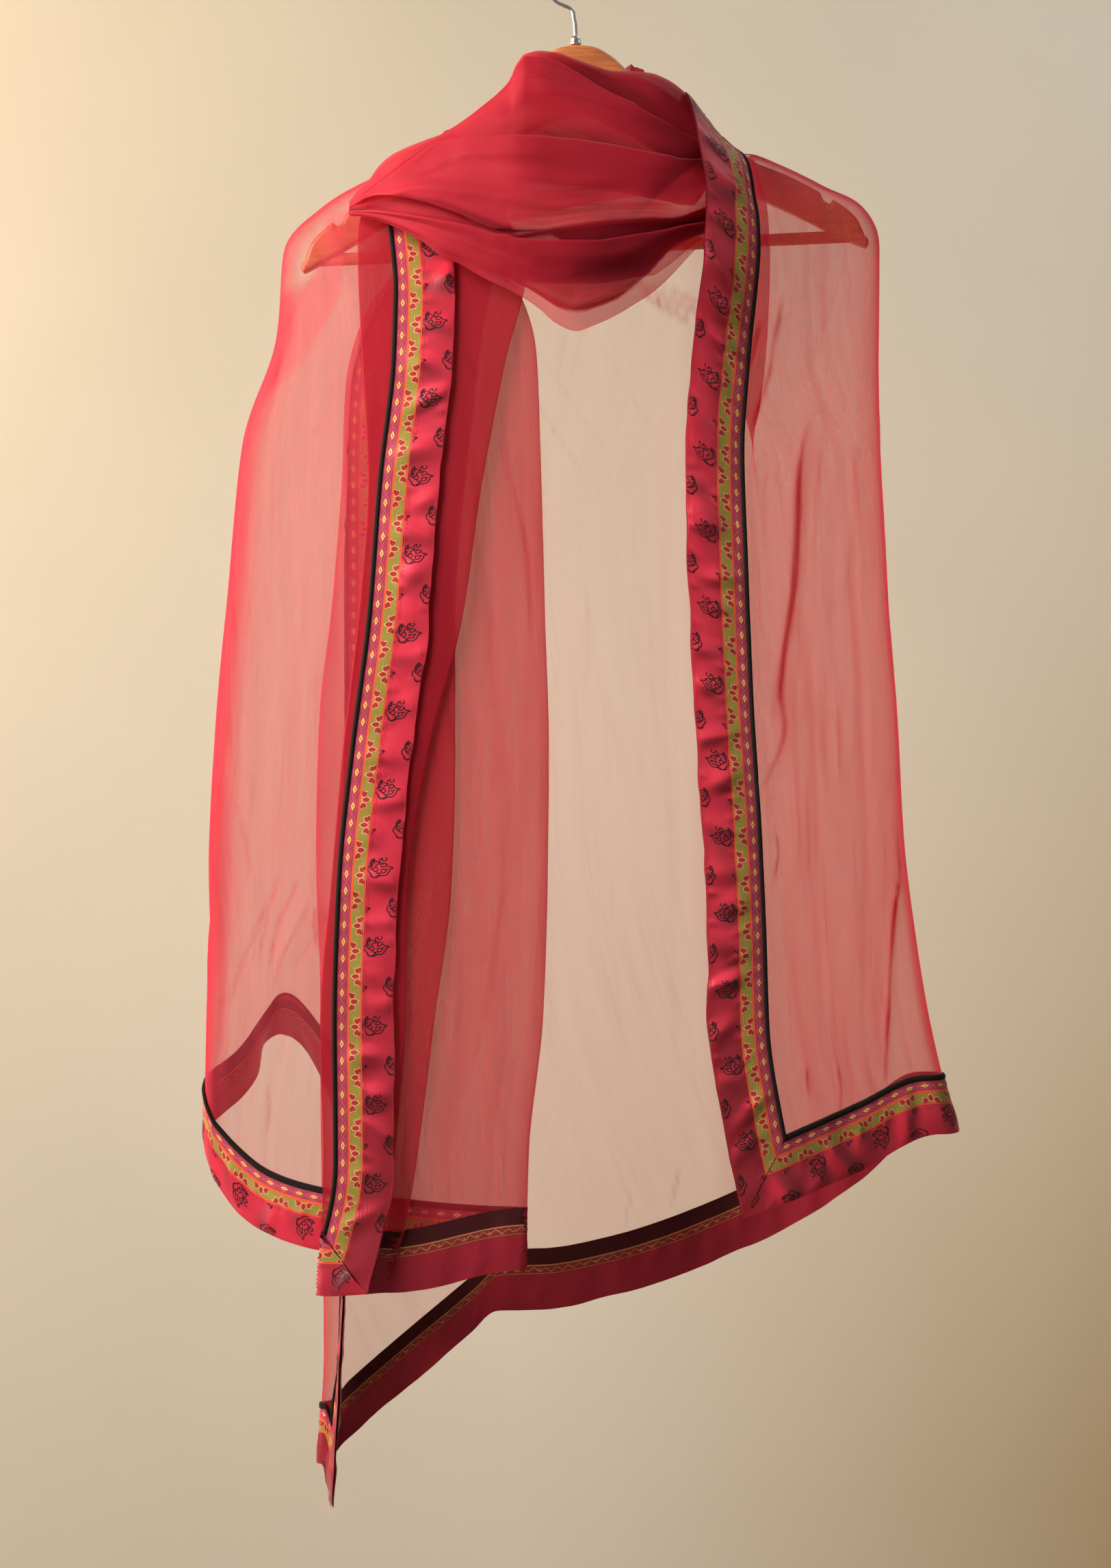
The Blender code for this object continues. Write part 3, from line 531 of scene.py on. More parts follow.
# ================================================================= materials
class Nodes:
    def __init__(self, name):
        self.m = bpy.data.materials.new(name)
        self.m.use_nodes = True
        self.t = self.m.node_tree
        self.t.nodes.clear()
        self.out = self.t.nodes.new("ShaderNodeOutputMaterial")

    def add(self, kind, inputs=None, **props):
        n = self.t.nodes.new(kind)
        for k, v in props.items():
            setattr(n, k, v)
        for k, v in (inputs or {}).items():
            s = n.inputs[k]
            if isinstance(v, bpy.types.NodeSocket):
                self.t.links.new(v, s)
            else:
                s.default_value = v
        return n

    def link(self, a, b):
        self.t.links.new(a, b)

    def math(self, op, a, b=None, clamp=False):
        n = self.t.nodes.new("ShaderNodeMath")
        n.operation, n.use_clamp = op, clamp
        for i, v in enumerate((a, b)):
            if v is None:
                continue
            if isinstance(v, bpy.types.NodeSocket):
                self.t.links.new(v, n.inputs[i])
            else:
                n.inputs[i].default_value = v
        return n.outputs[0]

    def ramp(self, fac, stops, interp="LINEAR"):
        n = self.t.nodes.new("ShaderNodeValToRGB")
        n.color_ramp.interpolation = interp
        els = n.color_ramp.elements
        while len(els) > 1:
            els.remove(els[-1])
        els[0].position, els[0].color = stops[0][0], (*stops[0][1], 1)
        for p, c in stops[1:]:
            e = els.new(p)
            e.color = (*c, 1)
        self.t.links.new(fac, n.inputs[0])
        return n.outputs[0]

    def mapped(self, source, scale):
        n = self.add("ShaderNodeMapping", {"Vector": source, "Scale": scale})
        return n.outputs[0]


def srgb(r, g, b):
    def f(c):
        c /= 255.0
        return c / 12.92 if c <= 0.04045 else ((c + 0.055) / 1.055) ** 2.4
    return (f(r), f(g), f(b))


def cloth_coords(k):
    return k.add("ShaderNodeUVMap", uv_map="cloth").outputs[0]


# the same silk, from one thin ply to many lying together; the deeper colours also carry painted shade
SILK_1, SILK_2, SILK_4, SILK_8 = (0.93, 0.135, 0.185), (0.78, 0.046, 0.082), (0.53, 0.016, 0.038), (0.27, 0.007, 0.018)


def make_sheer():
    k = Nodes("sheer_silk_chiffon")
    uv = cloth_coords(k)
    dens = k.add("ShaderNodeAttribute", attribute_name="dens").outputs[2]
    plies_and_shade = k.add("ShaderNodeAttribute", attribute_name="plies_and_shade").outputs[2]

    def noise(scale, detail=2.0, rough=0.5, bend=0.0):
        return k.add("ShaderNodeTexNoise", {"Vector": k.mapped(uv, (*scale, 1)), "Scale": 1.0, "Detail": detail,
                                            "Roughness": rough, "Distortion": bend}).outputs[0]

    def hairline(n, width, gate, lo):
        """Thin wandering lines: the middle level of a stretched noise, in patches."""
        d = k.math("DIVIDE", k.math("ABSOLUTE", k.math("SUBTRACT", n, 0.5)), width)
        line = k.math("SUBTRACT", 1.0, d, clamp=True)
        g = k.math("MULTIPLY", k.math("SUBTRACT", gate, lo), 6.0, clamp=True)
        return k.math("MULTIPLY", line, g)
    s1 = noise((300, 12), 2.5, 0.6)
    s3 = noise((46, 4), 2.0)
    crinkles = hairline(noise((78, 5.5), 1.0, 0.5, 0.8), 0.036, s3, 0.44)
    streak = k.math("MULTIPLY", k.math("SUBTRACT", s1, 0.5), 0.12)
    streak = k.math("ADD", streak, k.math("MULTIPLY", k.math("SUBTRACT", s3, 0.5), 0.09))
    streak = k.math("ADD", streak, k.math("MULTIPLY", crinkles, 0.04))
    # a lone thin ply takes less of the streaking than a close one
    streak = k.math("MULTIPLY", streak, k.math("ADD", k.math("MULTIPLY", dens, 1.2), 0.35))
    alpha = k.math("ADD", dens, streak)
    alpha = k.math("MINIMUM", k.math("MAXIMUM", alpha, 0.08), 0.985)
    depth = k.math("ADD", plies_and_shade, k.math("MULTIPLY", k.math("SUBTRACT", s1, 0.5), 0.16))
    depth = k.math("ADD", depth, k.math("MULTIPLY", crinkles, 0.10))
    col = k.ramp(depth, [(0.0, SILK_1), (0.35, SILK_2), (0.72, SILK_4), (1.0, SILK_8)])
    bump = k.add("ShaderNodeBump", {"Height": s1, "Strength": 0.3, "Distance": 0.0005}).outputs[0]
    body = k.add("ShaderNodeBsdfPrincipled", {"Base Color": col, "Roughness": 0.62, "Specular IOR Level": 0.22,
                                              "Sheen Weight": 0.10, "Sheen Roughness": 0.4, "Normal": bump}).outputs[0]
    through_ = k.add("ShaderNodeBsdfTranslucent", {"Color": col, "Normal": bump}).outputs[0]
    cloth = k.add("ShaderNodeMixShader", {0: 0.55, 1: body, 2: through_}).outputs[0]
    clear = k.add("ShaderNodeBsdfTransparent", {"Color": (1, 1, 1, 1)}).outputs[0]
    k.link(k.add("ShaderNodeMixShader", {0: alpha, 1: clear, 2: cloth}).outputs[0], k.out.inputs[0])
    return k.m


def make_satin():
    k = Nodes("crimson_satin_cloth")
    uv = cloth_coords(k)
    n1 = k.add("ShaderNodeTexNoise", {"Vector": k.mapped(uv, (40, 28, 1)), "Scale": 1.0, "Detail": 4.0}).outputs[0]
    n2 = k.add("ShaderNodeTexNoise", {"Vector": k.mapped(uv, (2400, 160, 1)), "Scale": 1.0, "Detail": 2.0}).outputs[0]
    face = k.ramp(n1, [(0.3, srgb(194, 34, 56)), (0.7, srgb(210, 46, 68))])
    back = k.ramp(n1, [(0.3, srgb(84, 12, 22)), (0.7, srgb(104, 18, 28))])
    geo = k.add("ShaderNodeNewGeometry").outputs["Backfacing"]
    col = k.add("ShaderNodeMix", {0: geo, 6: face, 7: back}, data_type="RGBA").outputs[2]
    # painted shade and highlight: the fold attribute makes the satin colour lighter on pucker slopes turned up, darker
    # on those turned down, and darker towards the ends of a long edge
    fold = k.add("ShaderNodeAttribute", attribute_name="fold").outputs[2]
    shade = k.math("MINIMUM", k.math("MAXIMUM", k.math("ADD", k.math("MULTIPLY", fold, 2.0), 0.98), 0.50), 1.14)
    col = k.add("ShaderNodeVectorMath", {0: col, 3: shade}, operation="SCALE").outputs[0]
    w = k.math("ADD", k.math("MULTIPLY", n1, 0.6), n2)
    bump = k.add("ShaderNodeBump", {"Height": w, "Strength": 0.35, "Distance": 0.00025}).outputs[0]
    b = k.add("ShaderNodeBsdfPrincipled", {"Base Color": col, "Roughness": 0.40, "Specular IOR Level": 0.42,
                                           "Anisotropic": 0.35, "Sheen Weight": 0.06, "Normal": bump}).outputs[0]
    k.link(b, k.out.inputs[0])
    return k.m


def make_plain(name, face, back=None, rough=0.6, freq=(60, 40), var=0.12, fine=(1500, 300), bump_d=0.00015, spec=0.3,
               sheen=0.15):
    """Woven or printed cloth in one colour, uneven in tone, with a fine thread bump."""
    k = Nodes(name)
    uv = cloth_coords(k)
    n1 = k.add("ShaderNodeTexNoise", {"Vector": k.mapped(uv, (*freq, 1)), "Scale": 1.0, "Detail": 4.0}).outputs[0]
    n2 = k.add("ShaderNodeTexNoise", {"Vector": k.mapped(uv, (*fine, 1)), "Scale": 1.0, "Detail": 2.0}).outputs[0]
    lo = tuple(c * (1 - var) for c in face)
    hi = tuple(min(1.0, c * (1 + var)) for c in face)
    col = k.ramp(k.math("ADD", k.math("MULTIPLY", n1, 0.6), k.math("MULTIPLY", n2, 0.4)), [(0.3, lo), (0.7, hi)])
    if back is not None:
        geo = k.add("ShaderNodeNewGeometry").outputs["Backfacing"]
        blo = tuple(c * 0.8 for c in back)
        bcol = k.ramp(n1, [(0.3, blo), (0.7, back)])
        col = k.add("ShaderNodeMix", {0: geo, 6: col, 7: bcol}, data_type="RGBA").outputs[2]
    bump = k.add("ShaderNodeBump", {"Height": n2, "Strength": 0.4, "Distance": bump_d}).outputs[0]
    b = k.add("ShaderNodeBsdfPrincipled", {"Base Color": col, "Roughness": rough, "Specular IOR Level": spec,
                                           "Sheen Weight": sheen, "Normal": bump}).outputs[0]
    k.link(b, k.out.inputs[0])
    return k.m


def make_wood():
    k = Nodes("honey_wood_varnished")
    co = k.add("ShaderNodeTexCoord").outputs["Object"]
    g1 = k.add("ShaderNodeTexNoise", {"Vector": k.mapped(co, (26, 160, 300)), "Scale": 1.0, "Detail": 6.0,
                                      "Roughness": 0.65, "Distortion": 0.6}).outputs[0]
    g2 = k.add("ShaderNodeTexNoise", {"Vector": k.mapped(co, (90, 900, 1500)), "Scale": 1.0, "Detail": 3.0}).outputs[0]
    f = k.math("ADD", k.math("MULTIPLY", g1, 0.75), k.math("MULTIPLY", g2, 0.25))
    col = k.ramp(f, [(0.30, srgb(150, 78, 40)), (0.48, srgb(190, 110, 62)), (0.62, srgb(206, 128, 76)), (0.8, srgb(172, 94, 50))])
    rough = k.math("ADD", k.math("MULTIPLY", g2, 0.15), 0.33)
    bump = k.add("ShaderNodeBump", {"Height": f, "Strength": 0.12, "Distance": 0.0003}).outputs[0]
    b = k.add("ShaderNodeBsdfPrincipled", {"Base Color": col, "Roughness": rough, "Normal": bump}).outputs[0]
    k.link(b, k.out.inputs[0])
    return k.m


def make_steel():
    k = Nodes("bright_wire")
    co = k.add("ShaderNodeTexCoord").outputs["Object"]
    n = k.add("ShaderNodeTexNoise", {"Vector": k.mapped(co, (900, 900, 900)), "Scale": 1.0, "Detail": 3.0}).outputs[0]
    col = k.ramp(n, [(0.3, (0.52, 0.50, 0.47)), (0.7, (0.66, 0.64, 0.61))])
    rough = k.math("ADD", k.math("MULTIPLY", n, 0.15), 0.2)
    b = k.add("ShaderNodeBsdfPrincipled", {"Base Color": col, "Roughness": rough, "Metallic": 1.0}).outputs[0]
    k.link(b, k.out.inputs[0])
    return k.m


M_SHEER = make_sheer()
M_SATIN = make_satin()
M = {
    "green": make_plain("tape_green", srgb(150, 134, 52), srgb(54, 16, 18), 0.55, var=0.2, freq=(900, 60)),
    "pink": make_plain("tape_pink", srgb(176, 54, 82), srgb(62, 18, 20), 0.5),
    "orange": make_plain("tape_orange", srgb(234, 88, 48), srgb(150, 52, 30), 0.5),
    "edge": make_plain("tape_edge_line", srgb(226, 82, 56), srgb(60, 18, 18), 0.5),
    "piping": make_plain("piping_cord", srgb(30, 27, 21), srgb(26, 20, 17), 0.85, spec=0.1, sheen=0.05),
    "ink": make_plain("ink_black", srgb(34, 14, 20), None, 0.5, var=0.2),
    "dark_red": make_plain("petal_dark_red", srgb(168, 38, 36), None, 0.55),
    "cream": make_plain("outline_cream", srgb(230, 160, 116), None, 0.55),
    "lilac": make_plain("lattice_lilac", srgb(206, 88, 104), None, 0.5),
    "crimson": make_plain("diamond_crimson", srgb(186, 40, 48), None, 0.5),
    "yellow": make_plain("diamond_yellow", srgb(242, 196, 116), None, 0.5),
    "dot": make_plain("diamond_dot", srgb(226, 110, 66), None, 0.5),
    "gold": make_plain("reverse_gold", srgb(176, 116, 62), None, 0.6),
    "reverse_red": make_plain("reverse_red", srgb(132, 30, 32), None, 0.6),
    "reverse_dark": make_plain("reverse_dark", srgb(62, 16, 18), None, 0.7, spec=0.15, sheen=0.05),
    "reverse_satin": make_plain("reverse_satin", srgb(150, 18, 40), None, 0.5, freq=(40, 28), fine=(2400, 160)),
    "thread": make_plain("stitch_thread", srgb(190, 40, 56), None, 0.5),
}
M_WOOD = make_wood()
M_STEEL = make_steel()

# ============================================================ the sheer cloth
right = Fall(RIGHT_COLS, RIGHT, right_section, 6.0)
left = Fall(LEFT_COLS, LEFT, left_section, 6.0)


CREASE_DENSITY_AND_SHADE = {}                                       # extra closeness of the threads along creases, and painted shade along them


def crease(f, path, width, depth, cols=None, soft=0.25, ink=0.0, sharp=0.45, seed=0):
    """Trough (depth < 0) or ridge (> 0) along a line given as x, z on the cloth,
    uneven along its length, with the cloth's threads closer together in it
    and painted shade along it (a painted highlight where ink is negative)."""
    p = np.array(path, float)
    p = p[np.argsort(-p[:, 1])]
    if len(p) > 2:                             # a smooth line through the points
        t = line_lengths(p)
        p = hermite(t, p, np.linspace(0, t[-1], 8 * len(p)))
        p = p[np.argsort(-p[:, 1])]
    X, Z = f.rest[:, :, 0], f.rest[:, :, 2]
    xc = np.interp(-Z, -p[:, 1], p[:, 0])
    top, bot = p[0, 1], p[-1, 1]
    length = max(top - bot, 1.0)
    fade = np.clip((top - Z) / (soft * length), 0, 1) * np.clip((Z - bot) / (soft * length), 0, 1)
    fade = fade * fade * (3 - 2 * fade)
    g = np.random.default_rng(900 + seed + int(abs(path[0][0])) + int(abs(path[0][1])))
    marks_ = g.uniform(0.45, 1.0, 12)
    uneven = np.interp((top - Z) / length, np.linspace(0, 1, 12), marks_)
    mask = np.ones(f.cols)
    if cols is not None:
        idx = np.arange(f.cols)
        mask = np.clip((idx - cols[0]) / 4.0, 0, 1) * np.clip((cols[1] - idx) / 4.0, 0, 1)
    fade = fade * uneven * mask[None, :]
    # ink: denser cloth along the crease, and painted shade in its colour
    if ink:
        store = CREASE_DENSITY_AND_SHADE.setdefault(id(f), np.zeros_like(X))
        store += ink * np.exp(-((X - xc) / max(width * sharp, 1.3)) ** 2) * fade
    return depth * np.exp(-((X - xc) / width) ** 2) * fade


def wrinkles(f, cols, n, seed, long=(40, 190), wide=(2.2, 4.6), deep=(0.2, 0.75), ink=(0.01, 0.06), tilt=0.05,
             where=(0.02, 0.96)):
    """Small loose wrinkles scattered over a stretch of columns, mostly along the warp."""
    g = np.random.default_rng(seed)
    out = np.zeros_like(f.U)
    store = CREASE_DENSITY_AND_SHADE.setdefault(id(f), np.zeros_like(f.U))
    v = f.V[:, (cols[0] + cols[1]) // 2]
    for _ in range(n):
        v0, ln = g.uniform(*where) * v[-1], g.uniform(*long)
        r0, r1 = np.searchsorted(v, (v0 - ln / 2, v0 + ln / 2))
        if r1 - r0 < 3:
            continue
        c0 = g.uniform(cols[0] + 3, cols[1] - 3)
        mid = (r0 + r1) // 2
        u0 = np.interp(c0, np.arange(f.cols), f.W[mid])
        q = (v[r0:r1] - v0) / (ln / 2)
        fade = np.clip(1 - q * q, 0, 1) ** 1.2
        uc = u0 + g.normal(0, tilt) * (v[r0:r1] - v0) + g.uniform(-3, 3) * np.sin(q * g.uniform(1.0, 2.6))
        w = g.uniform(*wide)
        off = (f.W[r0:r1] - uc[:, None]) / w
        inside = np.zeros(f.cols)
        inside[cols[0]:cols[1]] = 1.0
        near = np.exp(-off ** 2) * fade[:, None] * inside[None, :]
        out[r0:r1] += g.uniform(*deep) * g.choice([1.0, -1.0]) * near
        # the wrinkle's line of closer threads, which also paints shade into the colour
        store[r0:r1] += g.uniform(*ink) * np.exp(-(off * 1.5) ** 2) * fade[:, None] * inside[None, :]
    return out


def frill(f, seed):
    """The outer edges run a little unevenly, in the plane of the cloth."""
    for k_, (dist, out_dir, along) in enumerate((
            (f.U, f.P[:, 0] - f.P[:, 5], f.V), (f.from_end, f.P[:, -1] - f.P[:, -6], f.V),
            (f.from_hem, None, f.U))):
        if out_dir is None:
            d = f.P[-1] - f.P[-6]
            d = (d / (np.linalg.norm(d, axis=1)[:, None] + 1e-9))[None, :, :]
        else:
            d = (out_dir / (np.linalg.norm(out_dir, axis=1)[:, None] + 1e-9))[:, None, :]
        zero = np.zeros_like(along)
        wave = smooth_noise(along, zero, 34, 50, seed + k_) * 1.25 + smooth_noise(along, zero, 13, 50, seed + 9 + k_) * 0.45
        f.P = f.P + d * (wave * np.exp(-(dist / 13.0) ** 2))[:, :, None]


def crinkle(f, seed, amp=1.0):
    """Crushed-silk wrinkles along the warp: long soft ones, short sharp ones."""
    v, u = f.V, np.maximum(f.W, 0.0)
    warp = smooth_noise(v, u, 90, 60, seed + 5) * 9.0
    uu = np.clip(u + warp, 0, None) + 20
    a = smooth_noise(v, uu, 170, 16, seed) * 1.25
    b = smooth_noise(v, uu, 95, 8.5, seed + 1) * 0.75
    c = smooth_noise(v, uu, 48, 5.0, seed + 2) * 0.42
    gate = 0.55 + 0.45 * smooth_noise(v, u, 120, 70, seed + 3)
    big = smooth_noise(v, uu, 420, 62, seed + 4) * 2.6
    swell = np.clip(v / (v.max() * 0.8), 0.12, 1.0)
    near_edge = np.clip(np.minimum(f.U, f.from_end) / 46.5, 0, 1) ** 1.5
    near_hem = np.clip(f.from_hem / 60.0, 0.25, 1)
    return amp * ((a + b + c) * gate * near_edge * near_hem * np.clip(v / 120, 0.3, 1) + big * swell * (0.25 + 0.75 * near_edge))


def pucker(f, seed):
    """Cross puckers where the border is sewn to the softer silk."""
    g = np.random.default_rng(seed)
    out = np.zeros_like(f.U)
    for dist, along in ((f.U, f.V), (f.from_end, f.V), (f.from_hem, f.U)):
        amount = np.exp(-((dist - 14) / 13.0) ** 2)
        pos = 12.0
        wave = np.zeros_like(along)
        while pos < along.max():
            w, h = g.uniform(7.0, 11.0), g.uniform(0.5, 2.2) * g.choice([1, 1, -0.6])
            lean = g.uniform(-0.35, 0.35)
            wave -= h * np.exp(-((along - pos - lean * (dist - 14)) / w) ** 2)
            pos += g.uniform(24, 42)
        out += amount * wave
    return out


# column ranges of the layers
FRONT_R = (15, right.seg["R"][0] + 4)
BACK_R = (right.seg["R"][1] - 4, right.seg["B"][0] + 3)
l_in, l_out = left.seg["D"][1], left.seg["L"][0] + 4

d_right = crinkle(right, 11) + pucker(right, 21)
FRONT_CREASES = [
    # the long curved fold of the front panel and its companions: path (x, z), width, depth, ink (closer threads and
    # painted shade)
    ([(177, -334), (181, -353), (174, -377), (170, -406), (169, -437), (168, -468), (164, -504), (161, -522), (158, -545),
      (157, -569), (159, -594), (154, -615), (145, -633), (140, -644), (137, -657), (135, -676)], 5.0, -3.4, 0.40),
    ([(177, -334), (178, -380), (173, -430), (169, -480), (163, -530), (160, -590), (150, -640)], 15.0, -0.6, 0.09),
    ([(170, -430), (167, -480), (163, -520), (157, -548), (153, -577), (149, -606)], 7.0, 1.6, 0.18),
    ([(168, -490), (172, -530), (169, -561), (166, -600)], 3.5, 1.2, 0.10),
    ([(158, -262), (156, -277), (151, -303), (147, -327), (142, -343), (137, -358), (131, -378)], 4.5, -2.6, 0.30),
    ([(140, -286), (139, -292), (135, -311), (130, -330)], 3.5, -1.6, 0.22),
    ([(148, -388), (143, -416), (143, -442), (147, -466)], 3.5, -1.2, 0.12),
    ([(208, -350), (210, -371), (215, -410), (219, -450), (220, -490), (222, -526)], 3.5, -1.2, 0.10),
    ([(247, -640), (247, -678), (248, -694), (248, -711), (245, -727), (243, -746), (242, -761), (240, -800), (238, -840),
      (236, -880)], 4.0, -3.2, 0.46),
    ([(151, -668), (153, -678), (154, -688), (153, -697), (150, -716)], 3.0, -1.6, 0.26),
    ([(175, -846), (176, -861), (178, -876)], 2.6, -1.4, 0.28),
    ([(176, -612), (178, -664), (179, -716)], 2.6, -0.8, 0.10),
    ([(202, -572), (202, -640)], 2.6, -0.8, 0.10),
    ([(194, -330), (192, -349), (188, -380), (184, -416), (182, -458), (180, -500)], 3.4, -1.0, 0.09),
    ([(200, -846), (202, -871), (201, -892)], 2.6, -1.2, 0.20),
    ([(186, -730), (190, -799), (190, -856)], 4.0, 1.0, -0.06),
    ([(226, -250), (218, -330), (214, -420), (216, -470)], 5.0, -1.4, 0.05),
    ([(205, -240), (190, -290), (170, -350)], 5.0, 1.8, 0.05),
    ([(214, -540), (220, -640), (222, -760), (216, -860)], 5.0, 1.6, 0.07),
    ([(160, -720), (168, -790), (176, -850)], 4.0, 1.2, 0.06),
]
for path, w, dep, ik in FRONT_CREASES:
    d_right += crease(right, path, w, dep, FRONT_R, ink=ik)
BACK_CREASES = [
    ([(50, -258), (62, -264), (76, -271), (92, -281)], 4.0, -2.0, 0.24),
    ([(58, -252), (78, -262), (98, -274)], 3.0, 1.2, 0.12),
    ([(30, -300), (26, -480), (34, -700), (30, -900)], 12.0, 3.0, 0.0),
    ([(-20, -280), (-26, -500), (-18, -760), (-24, -960)], 10.0, -3.0, 0.03),
    ([(74, -320), (70, -520), (78, -760), (80, -940)], 9.0, -2.4, 0.03),
    ([(-90, -320), (-96, -560), (-90, -820), (-98, -1000)], 13.0, 4.0, 0.04),
    ([(-140, -340), (-150, -600), (-146, -860), (-150, -1040)], 9.0, -3.0, 0.06),
    ([(120, -320), (124, -520), (130, -720), (140, -930)], 13.0, 4.5, 0.03),
    ([(170, -330), (180, -520), (186, -700), (196, -880)], 9.0, -3.0, 0.06),
    ([(216, -420), (222, -600), (234, -780), (248, -890)], 12.0, 3.0, 0.05),
    ([(150, -240), (110, -330), (70, -420)], 6.0, -1.8, 0.05),
    ([(10, -170), (0, -240), (-14, -330)], 6.0, -2.0, 0.06),
    ([(-60, -190), (-80, -260), (-100, -350)], 7.0, 2.0, 0.06),
    ([(76, -968), (80, -950), (84, -930)], 3.0, -1.6, 0.20),
    ([(40, -985), (43, -966), (46, -950)], 2.6, -1.4, 0.12),
    ([(-34, -330), (-10, -372), (20, -410)], 2.6, -0.8, 0.06),
    ([(-28, -300), (4, -350), (36, -392)], 2.6, 0.8, 0.05),
    ([(14, -286), (40, -330), (66, -372)], 2.6, -0.8, 0.05),
    ([(8, -470), (12, -520), (10, -566)], 2.6, -0.8, 0.07),
]
for path, w, dep, ik in BACK_CREASES:
    d_right += crease(right, path, w, dep, BACK_R, ink=ik)
d_right += wrinkles(right, (right.seg["front"][0] + 2, right.seg["front"][1]), 95, 301)
d_right += wrinkles(right, right.seg["back_r"], 60, 302, ink=(0.005, 0.03))
d_right += wrinkles(right, (right.seg["back_m"][0], right.seg["back_l"][1]), 110, 303, ink=(0.003, 0.025), deep=(0.2, 0.7))
right.displace(d_right * 0.8)
right.settle(1)
frill(right, 501)
right.N = grid_normals(right.P)

d_left = crinkle(left, 31) + pucker(left, 41)
LEFT_CREASES = [
    # outer layer, between the right fold and the outer fold
    ([(-195, -244), (-207, -267), (-222, -293), (-224, -308), (-227, -331), (-239, -342)], 5.0, -1.6, 0.10),
    ([(-222, -240), (-236, -290), (-244, -340)], 5.0, 2.0, 0.06),
    ([(-206, -700), (-214, -722), (-224, -744), (-232, -790)], 4.0, -2.2, 0.20),
    ([(-196, -716), (-206, -740), (-220, -766), (-229, -800)], 3.4, 1.6, 0.16),
    ([(-222, -700), (-230, -730), (-236, -756), (-238, -779)], 3.2, -1.8, 0.18),
    ([(-186, -740), (-200, -758), (-212, -776)], 3.0, -1.4, 0.14),
    ([(-228, -716), (-242, -752), (-254, -780), (-262, -812)], 4.0, -1.6, 0.16),
    ([(-262, -640), (-252, -664), (-246, -700), (-250, -716)], 4.5, -1.4, 0.14),
    ([(-266, -560), (-258, -620), (-252, -660)], 4.5, 1.2, 0.08),
    ([(-268, -720), (-266, -780), (-270, -850)], 9.0, -1.4, 0.16),
    ([(-232, -860), (-230, -885), (-233, -905)], 2.6, -1.4, 0.18),
    ([(-60, -330), (-52, -520), (-56, -740), (-62, -930)], 10.0, 3.0, 0.04),
    ([(-52, -355), (-47, -407), (-39, -443), (-34, -470), (-32, -540)], 4.0, -2.0, 0.16),
    ([(-36, -330), (-38, -420), (-34, -520), (-38, -620), (-36, -700)], 3.4, -1.4, 0.10),
    ([(-66, -470), (-62, -540), (-58, -600), (-66, -650)], 4.0, -1.6, 0.12),
    ([(-62, -640), (-52, -690), (-58, -760), (-66, -860)], 5.0, -1.6, 0.09),
    ([(-90, -700), (-84, -780), (-92, -860), (-100, -950)], 7.0, -2.0, 0.06),
    ([(-24, -560), (-26, -700), (-30, -820)], 3.0, 1.2, 0.08),
    ([(-34, -880), (-36, -930), (-34, -970)], 2.6, -1.0, 0.14),
]
for path, w, dep, ik in LEFT_CREASES:
    d_left += crease(left, path, w, dep, (l_in, l_out), ink=ik)
HIDDEN_CREASES = [
    ([(-180, -260), (-196, -420), (-214, -600), (-222, -760)], 8.0, 3.0, 0.03),
    ([(-230, -420), (-244, -600), (-240, -780)], 8.0, -2.4, 0.03),
]
for path, w, dep, ik in HIDDEN_CREASES:
    d_left += crease(left, path, w, dep, (l_out, left.cols - 15), ink=ik)
d_left += wrinkles(left, (left.seg["TD"][0], left.seg["TD"][1]), 46, 311, ink=(0.01, 0.045))
d_left += wrinkles(left, left.seg["DM"], 90, 312, ink=(0.01, 0.045))
d_left += wrinkles(left, left.seg["ML"], 60, 313, ink=(0.005, 0.03), deep=(0.2, 0.6))
# keep the thin stack of front layers in order: less relief there
damp = np.ones(left.cols)
damp[:] = 0.72
damp[:l_in] = 0.36
damp[: int(l_in * 0.5)] = 0.5
left.displace(d_left * damp[None, :])
left.settle(1)
frill(left, 521)
left.N = grid_normals(left.P)


def density(P, base):
    """Opacity of the cloth: a slanted or folded wall hides more than a flat one."""
    n = grid_normals(P)
    facing = np.clip(np.abs(n[:, :, 1]), 0.16, 1.0)
    a = 1.0 - (1.0 - base) ** (0.45 + 0.55 / facing)
    return np.clip(a, 0.0, 0.93)


def by_stretch(f, values, default):
    """A value for each column, from named stretches, eased across their ends."""
    out = np.full(f.cols, default)
    for name, v in values.items():
        a_, b_ = f.seg[name]
        out[a_:b_ + 1] = v
    k = np.ones(9) / 9
    return np.convolve(np.pad(out, 4, mode="edge"), k, mode="valid")


def region(f, corners, soft=6.0):
    """1 inside a polygon of x, z, easing to 0 across its edges."""
    X, Z = f.rest[:, :, 0], f.rest[:, :, 2]
    poly = np.array(corners, float)
    inside = np.zeros(X.shape, bool)
    far = np.full(X.shape, 1e9)
    for a_, b_ in zip(poly, np.roll(poly, -1, axis=0)):
        cross = (a_[1] > Z) != (b_[1] > Z)
        with np.errstate(divide="ignore", invalid="ignore"):
            xi = a_[0] + (Z - a_[1]) * (b_[0] - a_[0]) / (b_[1] - a_[1])
        inside ^= cross & (X < xi)
        ab = b_ - a_
        t = np.clip(((X - a_[0]) * ab[0] + (Z - a_[1]) * ab[1]) / (ab @ ab + 1e-9), 0, 1)
        far = np.minimum(far, np.hypot(X - a_[0] - t * ab[0], Z - a_[1] - t * ab[1]))
    d = np.where(inside, far, -far)
    k = np.clip(d / soft + 0.5, 0, 1)
    return k * k * (3 - 2 * k)


